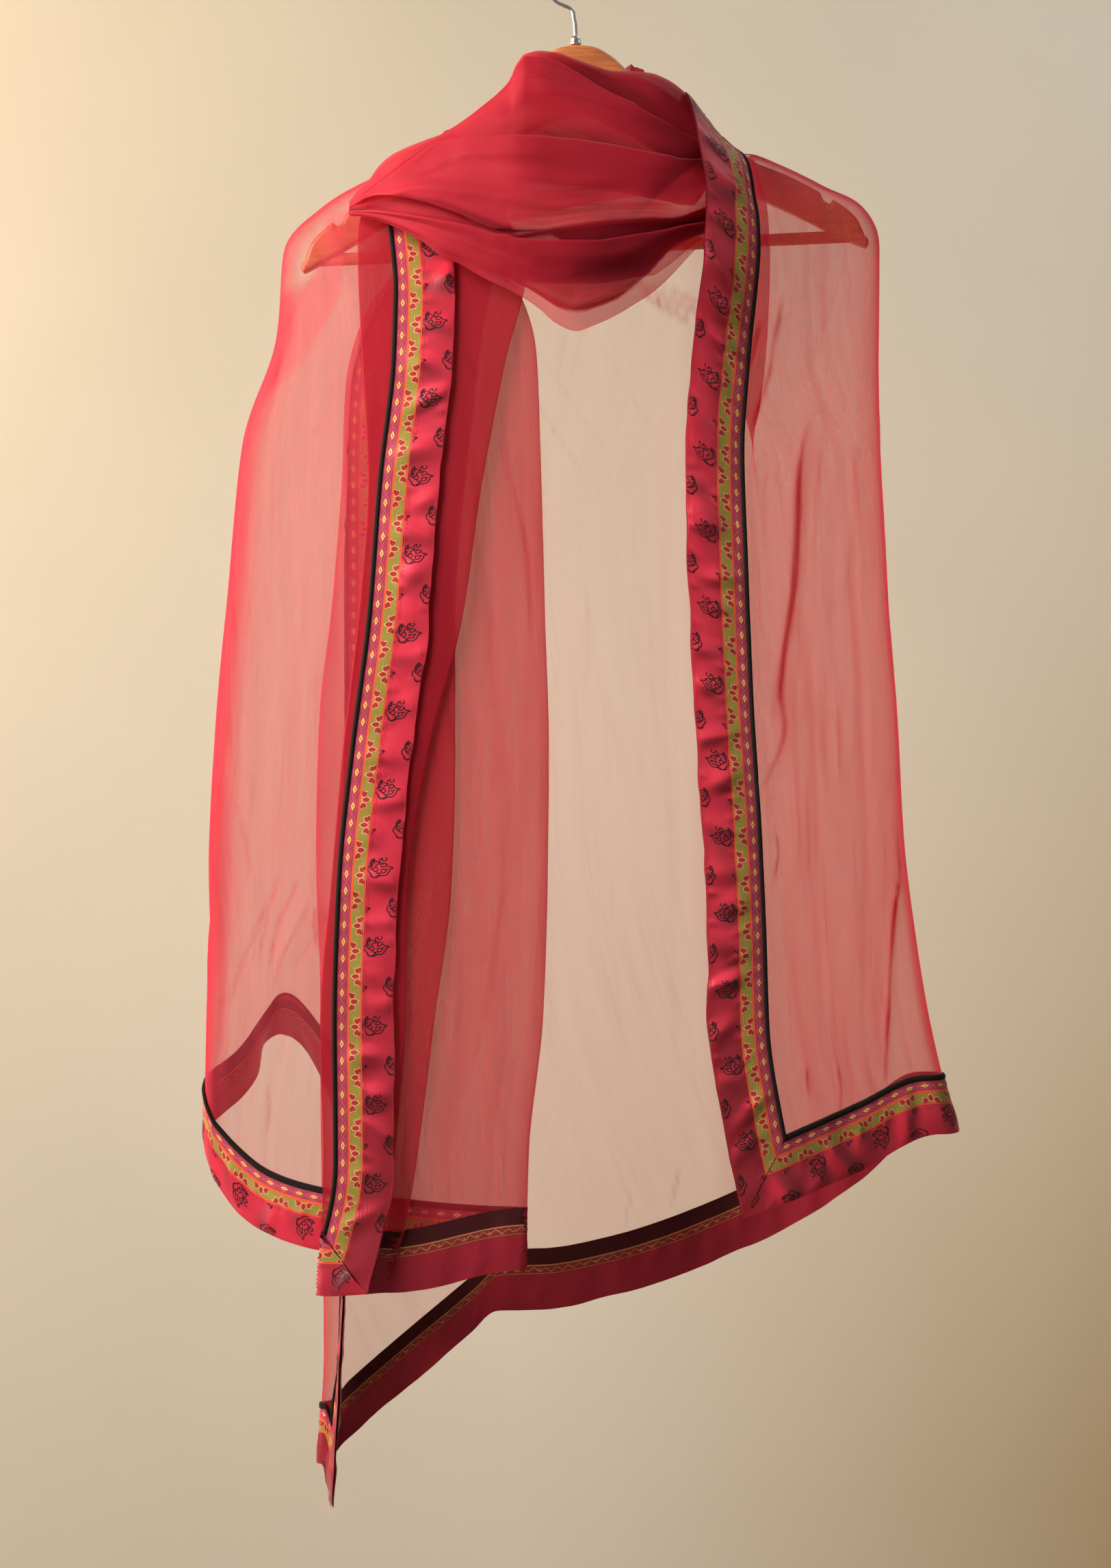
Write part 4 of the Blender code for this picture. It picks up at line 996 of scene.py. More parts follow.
def sheer_object(name, f, flip, base, plies_and_shade, more=None):
    dens = density(f.P, base + (0 if more is None else more))
    dens = np.clip(dens + 1.35 * CREASE_DENSITY_AND_SHADE.get(id(f), 0.0), 0.10, 0.95)
    edge = np.minimum(np.minimum(f.U, f.from_end), f.from_hem)
    dens = np.where(edge < 46.5, np.maximum(dens, 0.6), dens)
    # the crease ink also deepens the colour: painted shade along the creases
    depth = np.broadcast_to(plies_and_shade, dens.shape) + np.clip(CREASE_DENSITY_AND_SHADE.get(id(f), 0.0), 0, 0.4) * 1.0
    uv = np.stack([f.W.ravel(), f.V.ravel()], axis=1) * MM
    return new_mesh(name, f.P.reshape(-1, 3), quads(f.rows, f.cols, flip), [M_SHEER], uv=uv,
                    attrs={"dens": dens.ravel(), "plies_and_shade": depth.ravel()})


def fading(f, high, low, default, z0=-260.0, z1=-900.0):
    """Columns' values near the top blended to those lower down."""
    t = np.clip((z0 - f.rest[:, :, 2]) / (z0 - z1), 0, 1)
    t = t * t * (3 - 2 * t)
    return by_stretch(f, high, default)[None, :] * (1 - t) + by_stretch(f, low, default)[None, :] * t


base_r = fading(right, {"strip": 0.5, "P": 0.52, "PQ": 0.5, "Q": 0.5, "front": 0.46, "R": 0.52, "back_r": 0.32,
                        "back_m": 0.17, "back_l": 0.24, "B": 0.5, "tail": 0.42},
                {"strip": 0.5, "P": 0.52, "PQ": 0.5, "Q": 0.5, "front": 0.57, "R": 0.56, "back_r": 0.38,
                 "back_m": 0.23, "back_l": 0.28, "B": 0.5, "tail": 0.42}, 0.40)
base_l = fading(left, {"strip": 0.6, "A": 0.6, "AG": 0.64, "G": 0.66, "GS": 0.6, "S": 0.62, "SH": 0.6, "H": 0.64,
                       "HT": 0.58, "T": 0.58, "TD": 0.56, "D": 0.56, "DM": 0.55, "ML": 0.38, "L": 0.52,
                       "LN": 0.34, "NE": 0.4},
                {"strip": 0.62, "A": 0.62, "AG": 0.60, "G": 0.64, "GS": 0.58, "S": 0.60, "SH": 0.58, "H": 0.62,
                 "HT": 0.56, "T": 0.58, "TD": 0.50, "D": 0.56, "DM": 0.53, "ML": 0.36, "L": 0.54,
                 "LN": 0.34, "NE": 0.4}, 0.44)
ply_r = by_stretch(right, {"strip": 0.4, "P": 0.45, "PQ": 0.4, "Q": 0.45, "front": 0.24, "R": 0.34, "back_r": 0.14,
                           "back_m": 0.04, "back_l": 0.10, "B": 0.4, "tail": 0.3}, 0.25)
ply_l = fading(left, {"strip": 0.6, "A": 0.62, "AG": 0.62, "G": 0.66, "GS": 0.6, "S": 0.66, "SH": 0.6, "H": 0.64,
                      "HT": 0.60, "T": 0.62, "TD": 0.56, "D": 0.58, "DM": 0.46, "ML": 0.16, "L": 0.34,
                      "LN": 0.14, "NE": 0.3},
               {"strip": 0.55, "A": 0.58, "AG": 0.60, "G": 0.62, "GS": 0.58, "S": 0.6, "SH": 0.58, "H": 0.6,
                "HT": 0.56, "T": 0.56, "TD": 0.50, "D": 0.60, "DM": 0.42, "ML": 0.19, "L": 0.38,
                "LN": 0.14, "NE": 0.3}, 0.34)
# beyond the deep crease near the lower right the back of the fold swings clear
clear_r = region(right, [(249, -672), (249, -712), (244, -750), (241, -800), (239, -840), (235, -930), (330, -960),
                         (330, -700), (262, -660)], 5.0)
cols_back = np.zeros(right.cols)
cols_back[right.seg["R"][1] - 2: right.seg["back_m"][0]] = 1.0
more_r = -0.22 * clear_r * cols_back[None, :]
# the slanting double ply on the left shoulder
shoulder = region(left, [(-173, -200), (-176, -262), (-189, -289), (-207, -319), (-219, -330), (-239, -344), (-231, -336),
                         (-225, -308), (-222, -293), (-207, -267), (-195, -244), (-188, -205)], 3.0)
cols_out = np.zeros(left.cols)
cols_out[left.seg["DM"][0]: left.seg["L"][0] + 3] = 1.0
more_l = 0.20 * shoulder * cols_out[None, :]
# the outer layer lies closer together down its left side
margin = region(left, [(-300, -560), (-262, -600), (-254, -720), (-262, -800), (-266, -860), (-276, -900), (-300, -900)], 16.0)
more_l = more_l + 0.10 * margin * cols_out[None, :]


def by_fold(f, name, reach, amount):
    a_, b_ = f.seg[name]
    mid = f.U[:, (a_ + b_) // 2][:, None]
    return amount * np.exp(-((f.U - mid) / reach) ** 2)


more_r = more_r + by_fold(right, "R", 9.0, 0.10) + by_fold(right, "B", 5.0, 0.10)
more_l = more_l + by_fold(left, "L", 16.0, 0.36) + by_fold(left, "D", 8.0, 0.10)
# the dark wedge beside the strip, where the inner pleats lie in its shade
wedge = region(left, [(-60, -300), (-99, -414), (-91, -480), (-86, -529), (-91, -562), (-97, -611), (-106, -660),
                      (-115, -709), (-122, -731), (-160, -880), (-190, -860), (-180, -700), (-160, -500), (-150, -300)], 14.0)
near_ = np.ones(left.cols)
near_[left.seg["TD"][1]:] = 0.0
wedge = wedge * near_[None, :] * np.clip((-330 - left.rest[:, :, 2]) / 160.0, 0, 1)
ply_l = ply_l + 0.07 * wedge
more_l = more_l + 0.10 * wedge
# little gathers under the drape's right corner
gather = np.zeros(right.P.shape[:2])
for line in ([(42, -246), (58, -252), (76, -262), (104, -276), (104, -281), (74, -268), (54, -258)],
             [(50, -256), (66, -264), (90, -280), (88, -284), (62, -270)],
             [(66, -252), (84, -258), (106, -270), (104, -273), (80, -262)]):
    gather = np.maximum(gather, region(right, line, 3.5))
cols_mid = np.zeros(right.cols)
cols_mid[right.seg["back_m"][0] - 20: right.seg["back_l"][1]] = 1.0
more_r = more_r + 0.20 * gather * cols_mid[None, :]
# one thin ply over the left arm of the hanger
arm = region(left, [(-234, -228), (-206, -186), (-176, -166), (-146, -166), (-146, -214), (-186, -238), (-226, -268)], 10.0)
more_l = more_l - 0.26 * arm * (np.arange(left.cols) >= left.seg["TD"][0])[None, :]
o_right = sheer_object("right_end_cloth", right, True, base_r, ply_r[None, :], more_r)
o_left = sheer_object("left_end_cloth", left, False, base_l, ply_l, more_l)

# ------------------------------------------------- drape across the front
NX = 210
OVER = {  # how far a panel runs on behind the fold below it, by x: (left, rise, fall, right, mm)
    "A": (-50, 30, 30, 118, 26.0),
    "B": (-104, 40, 30, 118, 34.0),
    "C": (-166, 26, 30, -34, 9.0),
    "E": (-24, 30, 20, 118, 15.0),
    "D": (-160, 30, 30, 118, 30.0),
}


def over(name, x):
    lo, rise, fall, hi, mm_ = OVER[name]
    return mm_ * ease(x, lo, lo + rise) * ease(-x, -hi, -hi + fall)


def lean(q):
    return float(np.interp(q, [0, 0.04, 0.12, 0.3, 0.55, 0.78, 0.92, 1.0],
                           [0.16, 0.38, 0.55, 0.76, 0.93, 1.0, 0.97, 0.86]))


def cowl_section(r):
    """Weft-wise gathered cloth seen in section: panels hung one in front of the other."""
    x, top, bot = r["x"], r["top"], r["bot"]
    deep, span = r["yb"], r["yf"] - r["yb"]
    tall = top - bot

    def y(z, back=0.0):
        return deep + span * lean((top - z) / max(tall, 1.0)) + back
    ctl = [(x, deep + 10.0, top - min(38.0, tall * 0.5)), (x, deep + 5.0, top - 4.0), (x, deep - 1.0, top)]
    marks = [("hid", 2, 12)]
    here = top
    for name in ("A", "B"):
        o = over(name, x)
        w = ease(o, 0.5, 8.0)
        z = r[name]
        zt = z - max(min(o, 0.8 * (z - bot)), 0.6)
        # the panel above sinks behind the fold
        ctl.append((x, y(here - (here - z) * 0.5), here - (here - z) * 0.5))
        ctl.append((x, y(z, (5.0 if name == "A" else 4.0) * w), z - 0.2))
        ctl.append((x, y(zt, 5.4 * w), zt))
        marks.append((name + "_in", len(ctl) - 1, 18))
        f = fold_arc_yz(x, y(zt, 4.6 * w), zt, 0.5, down=True)
        ctl += f
        # ... and the next one comes up and turns over it
        g_ = fold_arc_yz(x, y(z, -1.0 * w), z, 0.9, down=False)
        ctl += g_
        marks.append((name + "_up", len(ctl) - 1, 22))
        here = z
    # the middle panel ends in a hanging fold above the open crease
    o = over("C", x)
    w = ease(o, 0.5, 6.0)
    z = r["C"]
    zm = here - (here - z) * 0.5
    ctl.append((x, y(zm), zm))
    ctl += fold_arc_yz(x, y(z + 1.0, 0.6), z + 0.8, 0.8, down=True)
    zu = z + max(o, 0.8)
    ctl.append((x, y(zu, 3.2 * w), zu))
    ctl.append((x, y(zu, 6.0 * w), zu - 0.4))
    marks.append(("C_out", len(ctl) - 1, 44))
    zu2 = r["E"] - 2.0
    ctl.append((x, y(zu2, 9.0 * w + 1.0), zu2))
    marks.append(("C_in", len(ctl) - 1, 12))
    here = r["E"]
    for name in ("E", "D"):
        o = over(name, x)
        w = ease(o, 0.5, 8.0)
        z = r[name]
        zt = z - max(min(o, 0.72 * (z - bot)), 0.5)
        if name == "D":
            ctl.append((x, y(here - (here - z) * 0.4), here - (here - z) * 0.4))
        ctl.append((x, y(zt, 4.2 * w), zt))
        marks.append((name + "_in", len(ctl) - 1, 12))
        ctl += fold_arc_yz(x, y(zt, 3.4 * w), zt, 0.6, down=True)
        ctl += fold_arc_yz(x, y(z, -2.0 * w), z, 1.6, down=False)
        marks.append((name + "_up", len(ctl) - 1, 24))
        here = z
    for q in (0.25, 0.55, 0.82):
        zz = here - (here - bot) * q
        ctl.append((x, y(zz, -1.2 * math.sin(math.pi * q)), zz))
    marks.append(("pouch", len(ctl) - 1, 30))
    ctl += fold_arc_yz(x, y(bot) + 4.0, bot + 3.0, 3.0, down=True)
    rise = min(46.0, (here - bot) * 0.86 + 4.0)
    ctl.append((x, y(bot) + 9.0, bot + rise * 0.55))
    ctl.append((x, y(bot) + 15.0, bot + rise))
    marks.append(("under", len(ctl) - 1, 26))
    return ctl, marks


def fold_arc_yz(x, y, z, r, down):
    """Half turn in depth: front to back under an edge, or back to front over one."""
    a = np.linspace(0, math.pi, 5)
    if down:
        return [(x, y - r * math.cos(t), z - r * math.sin(t)) for t in a]
    return [(x, y + r * math.cos(t), z + r * math.sin(t)) for t in a]


rows, us = [], []
for rec in read_table(COWL_COLS, COWL, np.linspace(0, 1, NX), by="x"):
    ctl, marks = cowl_section(rec)
    line, at, knots = curve(ctl, 10)
    cols, cseg, here = [0.0], {}, 0.0
    for name, last, nn in marks:
        end = max(knots[last], here + 0.02 * nn)
        cols += list(np.linspace(here, end, nn + 1)[1:])
        cseg[name] = (len(cols) - 1 - nn, len(cols) - 1)
        here = end
    cols = np.array(cols)
    rows.append(np.stack([np.interp(cols, at, line[:, i]) for i in range(3)], axis=1))
    us.append(cols)
G = np.array(rows)
UU = np.array(us)
NS = G.shape[1]
VV = np.repeat(np.concatenate([[0.0], np.cumsum(np.linalg.norm(np.diff(G.mean(axis=1), axis=0), axis=1))])[:, None], NS, axis=1)
# soft relief, only forwards and backwards, so that the folds keep their order
X, Z = G[:, :, 0], G[:, :, 2]
relief = np.zeros_like(X)


def swag(points, width, depth, names):
    """Trough or ridge along a line given in x, z on the named panels."""
    global relief
    p = np.array(points, float)
    zc = np.interp(X, p[:, 0], p[:, 1])
    run_ = p[-1, 0] - p[0, 0]
    fade = np.clip((X - p[0, 0]) / (0.25 * run_), 0, 1) * np.clip((p[-1, 0] - X) / (0.25 * run_), 0, 1)
    mask = np.zeros(NS)
    for nm in names:
        a_, b_ = cseg[nm]
        mask[a_:b_ + 1] = 1.0
    relief += depth * np.exp(-((Z - zc) / width) ** 2) * fade * mask[None, :]


front = ["A_in", "A_up", "B_in", "B_up", "C_out"]
swag([(-160, -196), (-110, -182), (-60, -186), (0, -196), (60, -192)], 5.0, -2.2, front)
swag([(-158, -200), (-120, -190), (-70, -196), (-10, -208), (40, -206)], 4.0, 1.8, front)
swag([(-150, -190), (-90, -172), (-30, -176), (30, -184), (90, -180)], 7.0, -2.0, front)
swag([(-140, -186), (-80, -166), (-10, -168)], 4.5, 1.3, front)
swag([(-120, -200), (-70, -206), (-20, -216), (30, -212)], 5.0, -1.5, front)
swag([(-60, -126), (-10, -134), (50, -150), (90, -156)], 9.0, -2.2, front)
swag([(-40, -104), (0, -122), (50, -142)], 7.0, 1.6, front)
swag([(-64, -140), (-20, -143), (40, -150)], 5.0, 2.4, front)
swag([(-30, -92), (20, -108), (60, -126), (96, -146)], 4.0, -1.6, ["hid", "A_in"])
swag([(10, -92), (50, -106), (80, -124), (100, -140)], 4.0, 3.0, ["hid", "A_in"])
swag([(-120, -222), (-60, -240), (0, -262), (60, -250), (96, -226)], 8.0, -2.4, ["pouch"])
swag([(-90, -226), (-30, -244), (30, -244), (90, -224)], 6.0, 1.8, ["pouch"])
swag([(-40, -262), (0, -280), (50, -268)], 5.0, 1.8, ["pouch", "under"])
swag([(20, -220), (60, -216), (100, -208)], 4.0, 1.6, ["E_up"])
swag([(-150, -209), (-110, -220), (-70, -236), (-30, -250)], 4.0, -1.5, ["pouch"])
even = np.broadcast_to(UU.mean(axis=0)[None, :], UU.shape)      # the same thread all along the drape
fine = smooth_noise(VV, even + 5, 60, 8, 61) * 0.40 + smooth_noise(VV, even + 5, 110, 24, 63) * 1.0
soft_y = G[:, :, 1].copy()
for _ in range(44):                            # depths ease from one section to the next
    soft_y[1:-1] = 0.5 * soft_y[1:-1] + 0.25 * (soft_y[:-2] + soft_y[2:])
G[:, :, 1] = soft_y
edge_in = np.clip(np.minimum(np.arange(NX)[:, None], NX - 1 - np.arange(NX)[:, None]) / 14.0, 0.2, 1)
G[:, :, 1] -= (relief + fine * edge_in)
# how closely the plies lie: the drape is the whole width of cloth bunched together
def patch(cx, cz, rx, rz, turn=0.0):
    """Soft oval patch, its long axis turned by some degrees."""
    c, s_ = math.cos(math.radians(turn)), math.sin(math.radians(turn))
    a_, b_ = (X - cx) * c + (Z - cz) * s_, -(X - cx) * s_ + (Z - cz) * c
    return np.exp(-(a_ / rx) ** 2 - (b_ / rz) ** 2)


def along(points, above, below_):
    """Close to a line in x, z: fading over so many mm above it and below it."""
    p = np.array(points, float)
    d = Z - np.interp(X, p[:, 0], p[:, 1])
    return np.exp(-(np.where(d > 0, d / above, d / below_)) ** 2)


def on(*names):
    m = np.zeros(NS)
    for nm in names:
        a_, b_ = cseg[nm]
        m[a_:b_ + 1] = 1.0
    return m[None, :]


crow = np.array(COWL)
at_x = {nm: np.interp(X, crow[:, 0], crow[:, i]) for i, nm in enumerate(COWL_COLS.split())}
q_top = np.clip((at_x["top"] - Z) / 7.0, 0, 1)
ply = 0.58 + 0.36 * q_top
rim_z = at_x["rim"] - 40.0 * np.clip((-66 - X) / 22.0, 0, 1)
below = np.clip((rim_z - Z) / 3.0 + 0.5, 0, 1)
below = below * below * (3 - 2 * below)
ply = ply * (1 - below) + (0.44 + 0.30 * np.clip((14 - X) / 34.0, 0, 1)) * below
a_, b_ = cseg["under"]
thin = np.clip((X[:, a_:] + 88) / 24.0, 0, 1)
ply[:, a_:] = np.minimum(ply[:, a_:], 0.85 - 0.43 * thin)
a_, b_ = cseg["hid"]
ply[:, a_:b_] = np.minimum(ply[:, a_:b_], 0.74)
# lighter where a side of the drape is stretched to a few plies
ply = ply - 0.10 * patch(70, -244, 26, 8, 38) - 0.22 * patch(86, -199, 15, 9, 40) * on("B_up", "C_out", "C_in")
ply = ply - 0.26 * patch(-134, -176, 9, 5, 25) - 0.16 * patch(-140, -183, 6, 3)
ply = ply - 0.30 * patch(20, -89, 24, 3.4, -12) * on("hid", "A_in") - 0.16 * patch(-43, -88, 4, 6)
dens = np.clip(density(G, 0.6) - 0.6, 0, 0.3) * 0.5 + ply
dens = np.clip(dens, 0.3, 0.97)
# deeper in tone where more of it lies together; most of this tone is painted shade and painted light: darker to the
# right and towards the bottom, lighter at the left, painted shadows above the fold lines A, B and D, beside the fold F,
# along the crease C and in the pockets
tone = 0.52 + 0.10 * np.clip((X + 60) / 130.0, 0, 1) + 0.16 * np.clip((-204 - Z) / 50.0, 0, 1)
tone = tone - 0.12 * np.clip((-70 - X) / 60.0, 0, 1)
line_a = [(crow[i, 0], crow[i, 2]) for i in range(len(crow))]
line_b = [(crow[i, 0], crow[i, 3]) for i in range(len(crow))]
line_d = [(crow[i, 0], crow[i, 6]) for i in range(len(crow))]
past_a = np.clip((X + 30) / 40.0, 0, 1)
# painted shadows above the fold lines A and B, on the lower right of the panel between them, and in the pocket at A's
# right end
tone = tone + 0.22 * on("hid", "A_in") * past_a + 0.30 * along(line_a, 14, 2) * on("hid", "A_in") * past_a
tone = tone + 0.34 * along(line_b, 11, 2) * on("A_up", "B_in") * np.clip((X + 70) / 50.0, 0, 1)
tone = tone + 0.30 * patch(70, -146, 34, 9, -22) * on("A_up", "B_in")
tone = tone + 0.50 * patch(84, -128, 16, 6, -40) * on("hid", "A_in")
# painted shade on the middle panel, lighter at its left; lighter right of the fold F where fewer plies lie
tone = tone + 0.20 * patch(14, -204, 30, 11, -24) * on("B_up", "C_out") + 0.16 * patch(34, -190, 34, 8, 14) * on("B_up", "C_out")
tone = tone - 0.10 * patch(-70, -180, 46, 12, -6) * on("B_up", "C_out")
line_f = [(-200, -290), (20, -228), (44, -214), (53, -207), (62, -197), (70, -189), (80, -180), (92, -170.6), (120, -150)]
tone = tone - 0.26 * patch(86, -199, 19, 11, 42) * on("B_up", "C_out")
# painted shadow beside the fold F and in the pocket by the strip
tone = tone + 0.26 * along(line_f, 17, 2.0) * on("B_up", "C_out") * np.clip((X - 36) / 24.0, 0, 1)
tone = tone + 0.34 * patch(98, -174, 8, 8) * on("B_up", "C_out")
# painted shadow along the crease C, on the right of the lower panels and above the roll D; the pouch painted darker at
# its lower right and lighter at its left
tone = tone + 0.34 * along([(-170, -206), (-130, -198), (-100, -203), (-70, -216), (-50, -224), (-30, -226)], 2.6, 7) * on("C_out", "C_in", "E_in", "E_up")
tone = tone + 0.18 * on("E_in", "E_up", "D_in") * np.clip((X + 40) / 60.0, 0, 1)
tone = tone + 0.22 * along(line_d, 5, 3) * on("E_in", "E_up", "D_in") + 0.20 * along(line_d, 2, 9) * on("pouch") * np.clip((X + 20) / 40.0, 0, 1)
tone = tone + 0.26 * patch(30, -256, 40, 15, 6) * on("pouch") - 0.10 * patch(-90, -226, 40, 7, -18) * on("pouch")
tone = np.clip(tone, 0.15, 1.0) * np.clip((ply - 0.30) / 0.5, 0.35, 1.0)
o_cowl = new_mesh("front_drape_cloth", G.reshape(-1, 3), quads(NX, NS), [M_SHEER],
                  uv=np.stack([even.ravel(), VV.ravel()], axis=1) * MM,
                  attrs={"dens": dens.ravel(), "plies_and_shade": tone.ravel()})

# --------------------------------------------------- stretch behind the neck
NW, NT = 170, 110
rows = []
for rec in read_table(WRAP_COLS, WRAP, np.linspace(0, 1, NW)):
    a = np.array([rec["ix"], rec["iy"], rec["iz"]])
    b = np.array([rec["ox"], rec["oy"], rec["oz"]])
    rows.append([a + (b - a) * q for q in np.linspace(0, 1, NT)])
W = np.array(rows)
W[:, :, 2] -= 10.0 * np.clip((16 - W[:, :, 0]) / 60.0, 0, 1)
Nw = grid_normals(W)
if Nw[NW // 2, NT // 2, 1] < 0:
    Nw = -Nw
s = np.linspace(0, 1, NT)[None, :]
x = np.linspace(0, 1, NW)[:, None]
pl = 3.0 * (0.5 - 0.5 * np.cos(2 * np.pi * s * 3.0))
g = np.random.default_rng(5)
for i in range(9):
    c = (i + 0.5) / 9 + g.uniform(-0.03, 0.03)
    width, depth = g.uniform(0.02, 0.04), g.uniform(0.8, 2.2)
    line = c + g.uniform(-0.05, 0.05) * np.sin(np.pi * x * g.uniform(0.7, 1.5))
    pl = pl - depth * np.exp(-((s - line) / width) ** 2)
VVw = np.repeat(np.linspace(0, 340, NW)[:, None], NT, axis=1)
UUw = np.repeat(np.linspace(0, 110, NT)[None, :], NW, axis=0)
pl = pl + smooth_noise(VVw, UUw + 5, 50, 7, 71) * 0.7 + smooth_noise(VVw, UUw + 5, 90, 20, 72) * 1.2
pl = pl * np.clip(np.minimum(s, 1 - s) / 0.12, 0.1, 1.0)
W = W + Nw * pl[:, :, None]
dens = np.clip(density(W, 0.62) + 0.12, 0, 0.95)
o_wrap = new_mesh("neck_wrap_cloth", W.reshape(-1, 3), quads(NW, NT), [M_SHEER],
                  uv=np.stack([UUw.ravel(), VVw.ravel()], axis=1) * MM,
                  attrs={"dens": dens.ravel(), "plies_and_shade": np.full(dens.size, 0.72)})

# ===================================================================== border
def arc(cx, cy, r, a0, a1, n=14, sq=1.0):
    a = np.linspace(math.radians(a0), math.radians(a1), n)
    return np.stack([cx + r * np.cos(a), cy + r * sq * np.sin(a)], axis=1)


def bez(p0, p1, p2, p3, n=12):
    t = np.linspace(0, 1, n)[:, None]
    p0, p1, p2, p3 = map(np.array, (p0, p1, p2, p3))
    return (1 - t) ** 3 * p0 + 3 * (1 - t) ** 2 * t * p1 + 3 * (1 - t) * t * t * p2 + t ** 3 * p3


def scallop(cx, cy, rx, ry, lobes, dep, a0=0, a1=360, n=60):
    a = np.radians(np.linspace(a0, a1, n))
    r = 1 + dep * np.abs(np.sin(lobes * a / 2))
    return np.stack([cx + rx * r * np.cos(a), cy + ry * r * np.sin(a)], axis=1)


# an open rose with a leaf, drawn in line; x to the leaf tip, mm
ROSE = [
    scallop(-3.2, 0.6, 4.6, 5.0, 5, 0.28, 40, 330, 52),
    arc(-3.4, 0.8, 1.7, 0, 360, 16, 0.9),
    arc(-1.0, 2.2, 2.0, -60, 170, 14, 0.8),
    arc(-1.2, -1.8, 2.1, 150, 380, 14, 0.7),
    arc(-5.2, -0.6, 1.7, 70, 280, 12, 1.0),
    bez((0.4, 5.4), (4.4, 6.4), (6.6, 3.4), (7.0, 0.8)),
    bez((7.0, 0.8), (7.6, 0.0), (8.6, 0.0), (9.3, -0.6)),
    bez((9.3, -0.6), (8.0, -1.4), (6.6, -0.9), (5.6, -1.2)),
    bez((5.6, -1.2), (4.6, -3.6), (2.8, -4.4), (1.0, -3.4)),
    bez((1.2, 3.6), (3.4, 3.6), (5.0, 2.2), (4.4, 0.2)),
    bez((0.8, 0.4), (2.4, 1.4), (3.6, 0.6), (5.4, 0.4)),
    bez((0.4, -1.2), (2.2, -0.4), (3.4, -1.4), (4.6, -2.4)),
    bez((-7.4, -2.6), (-8.0, -4.6), (-6.8, -6.6), (-4.9, -7.4)),
    bez((-4.9, -7.4), (-6.2, -5.8), (-5.6, -4.4), (-4.4, -3.6)),
    bez((0.2, -3.8), (-1.8, -5.2), (-1.4, -7.2), (1.4, -7.6)),
    bez((1.4, -7.6), (0.2, -6.4), (1.0, -5.4), (2.6, -5.6)),
    bez((2.6, -5.6), (4.4, -6.0), (4.6, -7.4), (3.4, -8.0)),
    bez((-6.6, 4.6), (-5.6, 6.8), (-2.8, 7.4), (-0.8, 6.2)),
    bez((-0.8, 6.2), (0.4, 5.2), (-0.2, 4.2), (-1.4, 4.4)),
]


def ribbon2d(path, w):
    """Flat strip of width w round a 2-D path: vertices and quads."""
    p = np.asarray(path, float)
    d = np.gradient(p, axis=0)
    d /= np.linalg.norm(d, axis=1)[:, None] + 1e-9
    n = np.stack([-d[:, 1], d[:, 0]], axis=1) * w / 2
    k = len(p)
    v = np.concatenate([p + n, p - n])
    f = [(i, i + 1, k + i + 1, k + i) for i in range(k - 1)]
    return v, f


def fan2d(path):
    p = np.asarray(path, float)
    c = p.mean(axis=0)
    k = len(p)
    v = np.concatenate([[c], p])
    f = [(0, 1 + i, 1 + (i + 1) % k) for i in range(k)]
    return v, f


def clip_poly(poly, lo, hi, axis=0):
    """Cut a convex polygon to lo <= axis <= hi."""
    for bound, keep_less in ((hi, True), (lo, False)):
        out = []
        for i in range(len(poly)):
            a, b = poly[i - 1], poly[i]
            ina = a[axis] <= bound if keep_less else a[axis] >= bound
            inb = b[axis] <= bound if keep_less else b[axis] >= bound
            if ina != inb:
                t = (bound - a[axis]) / (b[axis] - a[axis])
                out.append(a + t * (b - a))
            if inb:
                out.append(b)
        poly = out
        if not poly:
            return []
    return poly


class Print:
    """Decals of one border run, laid on its surface in d (across), l (along)."""

    def __init__(self, run, base):
        self.run, self.base = run, base
        self.d, self.l, self.h, self.faces, self.mat = [], [], [], [], []

    def put(self, verts, faces, d0, l0, mat, lift, flip_d=1, flip_l=1, rot=0.0, d_lo=0.3, d_hi=46.0, scale=1.0):
        v = np.asarray(verts, float) * scale
        if rot:
            c, s_ = math.cos(rot), math.sin(rot)
            v = v @ np.array([[c, s_], [-s_, c]])
        D = d0 + flip_d * v[:, 0]
        L = l0 + flip_l * v[:, 1]
        lo_l, hi_l = self.run.span(0.0)
        pts = np.stack([D, L], axis=1)
        inside = (D >= d_lo) & (D <= d_hi)
        for f in faces:
            poly = [pts[i] for i in f]
            if not all(inside[i] for i in f):
                if not any(inside[i] for i in f):
                    continue
                poly = clip_poly(poly, d_lo, d_hi)
                if len(poly) < 3:
                    continue
            mid = np.mean(poly, axis=0)
            a, b = self.run.span(mid[0] + 0.6)
            if mid[1] < a or mid[1] > b:
                continue
            start = len(self.d)
            for q in poly:
                self.d.append(q[0])
                self.l.append(q[1])
                self.h.append(lift)
            self.faces.append(list(range(start, start + len(poly))))
            self.mat.append(mat)

    def build(self, name, mats):
        P = self.run.point(np.array(self.d), np.array(self.l), self.base + np.array(self.h))
        verts, inv = np.unique(np.round(P, 4), axis=0, return_inverse=True)
        inv = inv.reshape(-1)
        faces, mat, seen = [], [], set()
        for f, m in zip(self.faces, self.mat):
            q = [int(inv[i]) for i in f]
            q = [a for i, a in enumerate(q) if a != q[i - 1]]
            if len(set(q)) < 3:
                continue
            key = tuple(sorted(q))
            if key in seen:
                continue
            seen.add(key)
            a, b, c = (verts[i] for i in q[:3])
            faces.append(q)
            mat.append(m)
        dl = np.zeros((len(verts), 2))
        dl[inv] = np.stack([self.d, self.l], axis=1)
        ob = new_mesh(name, verts, faces, mats, mat, uv=dl * MM, smooth=True)
        return ob


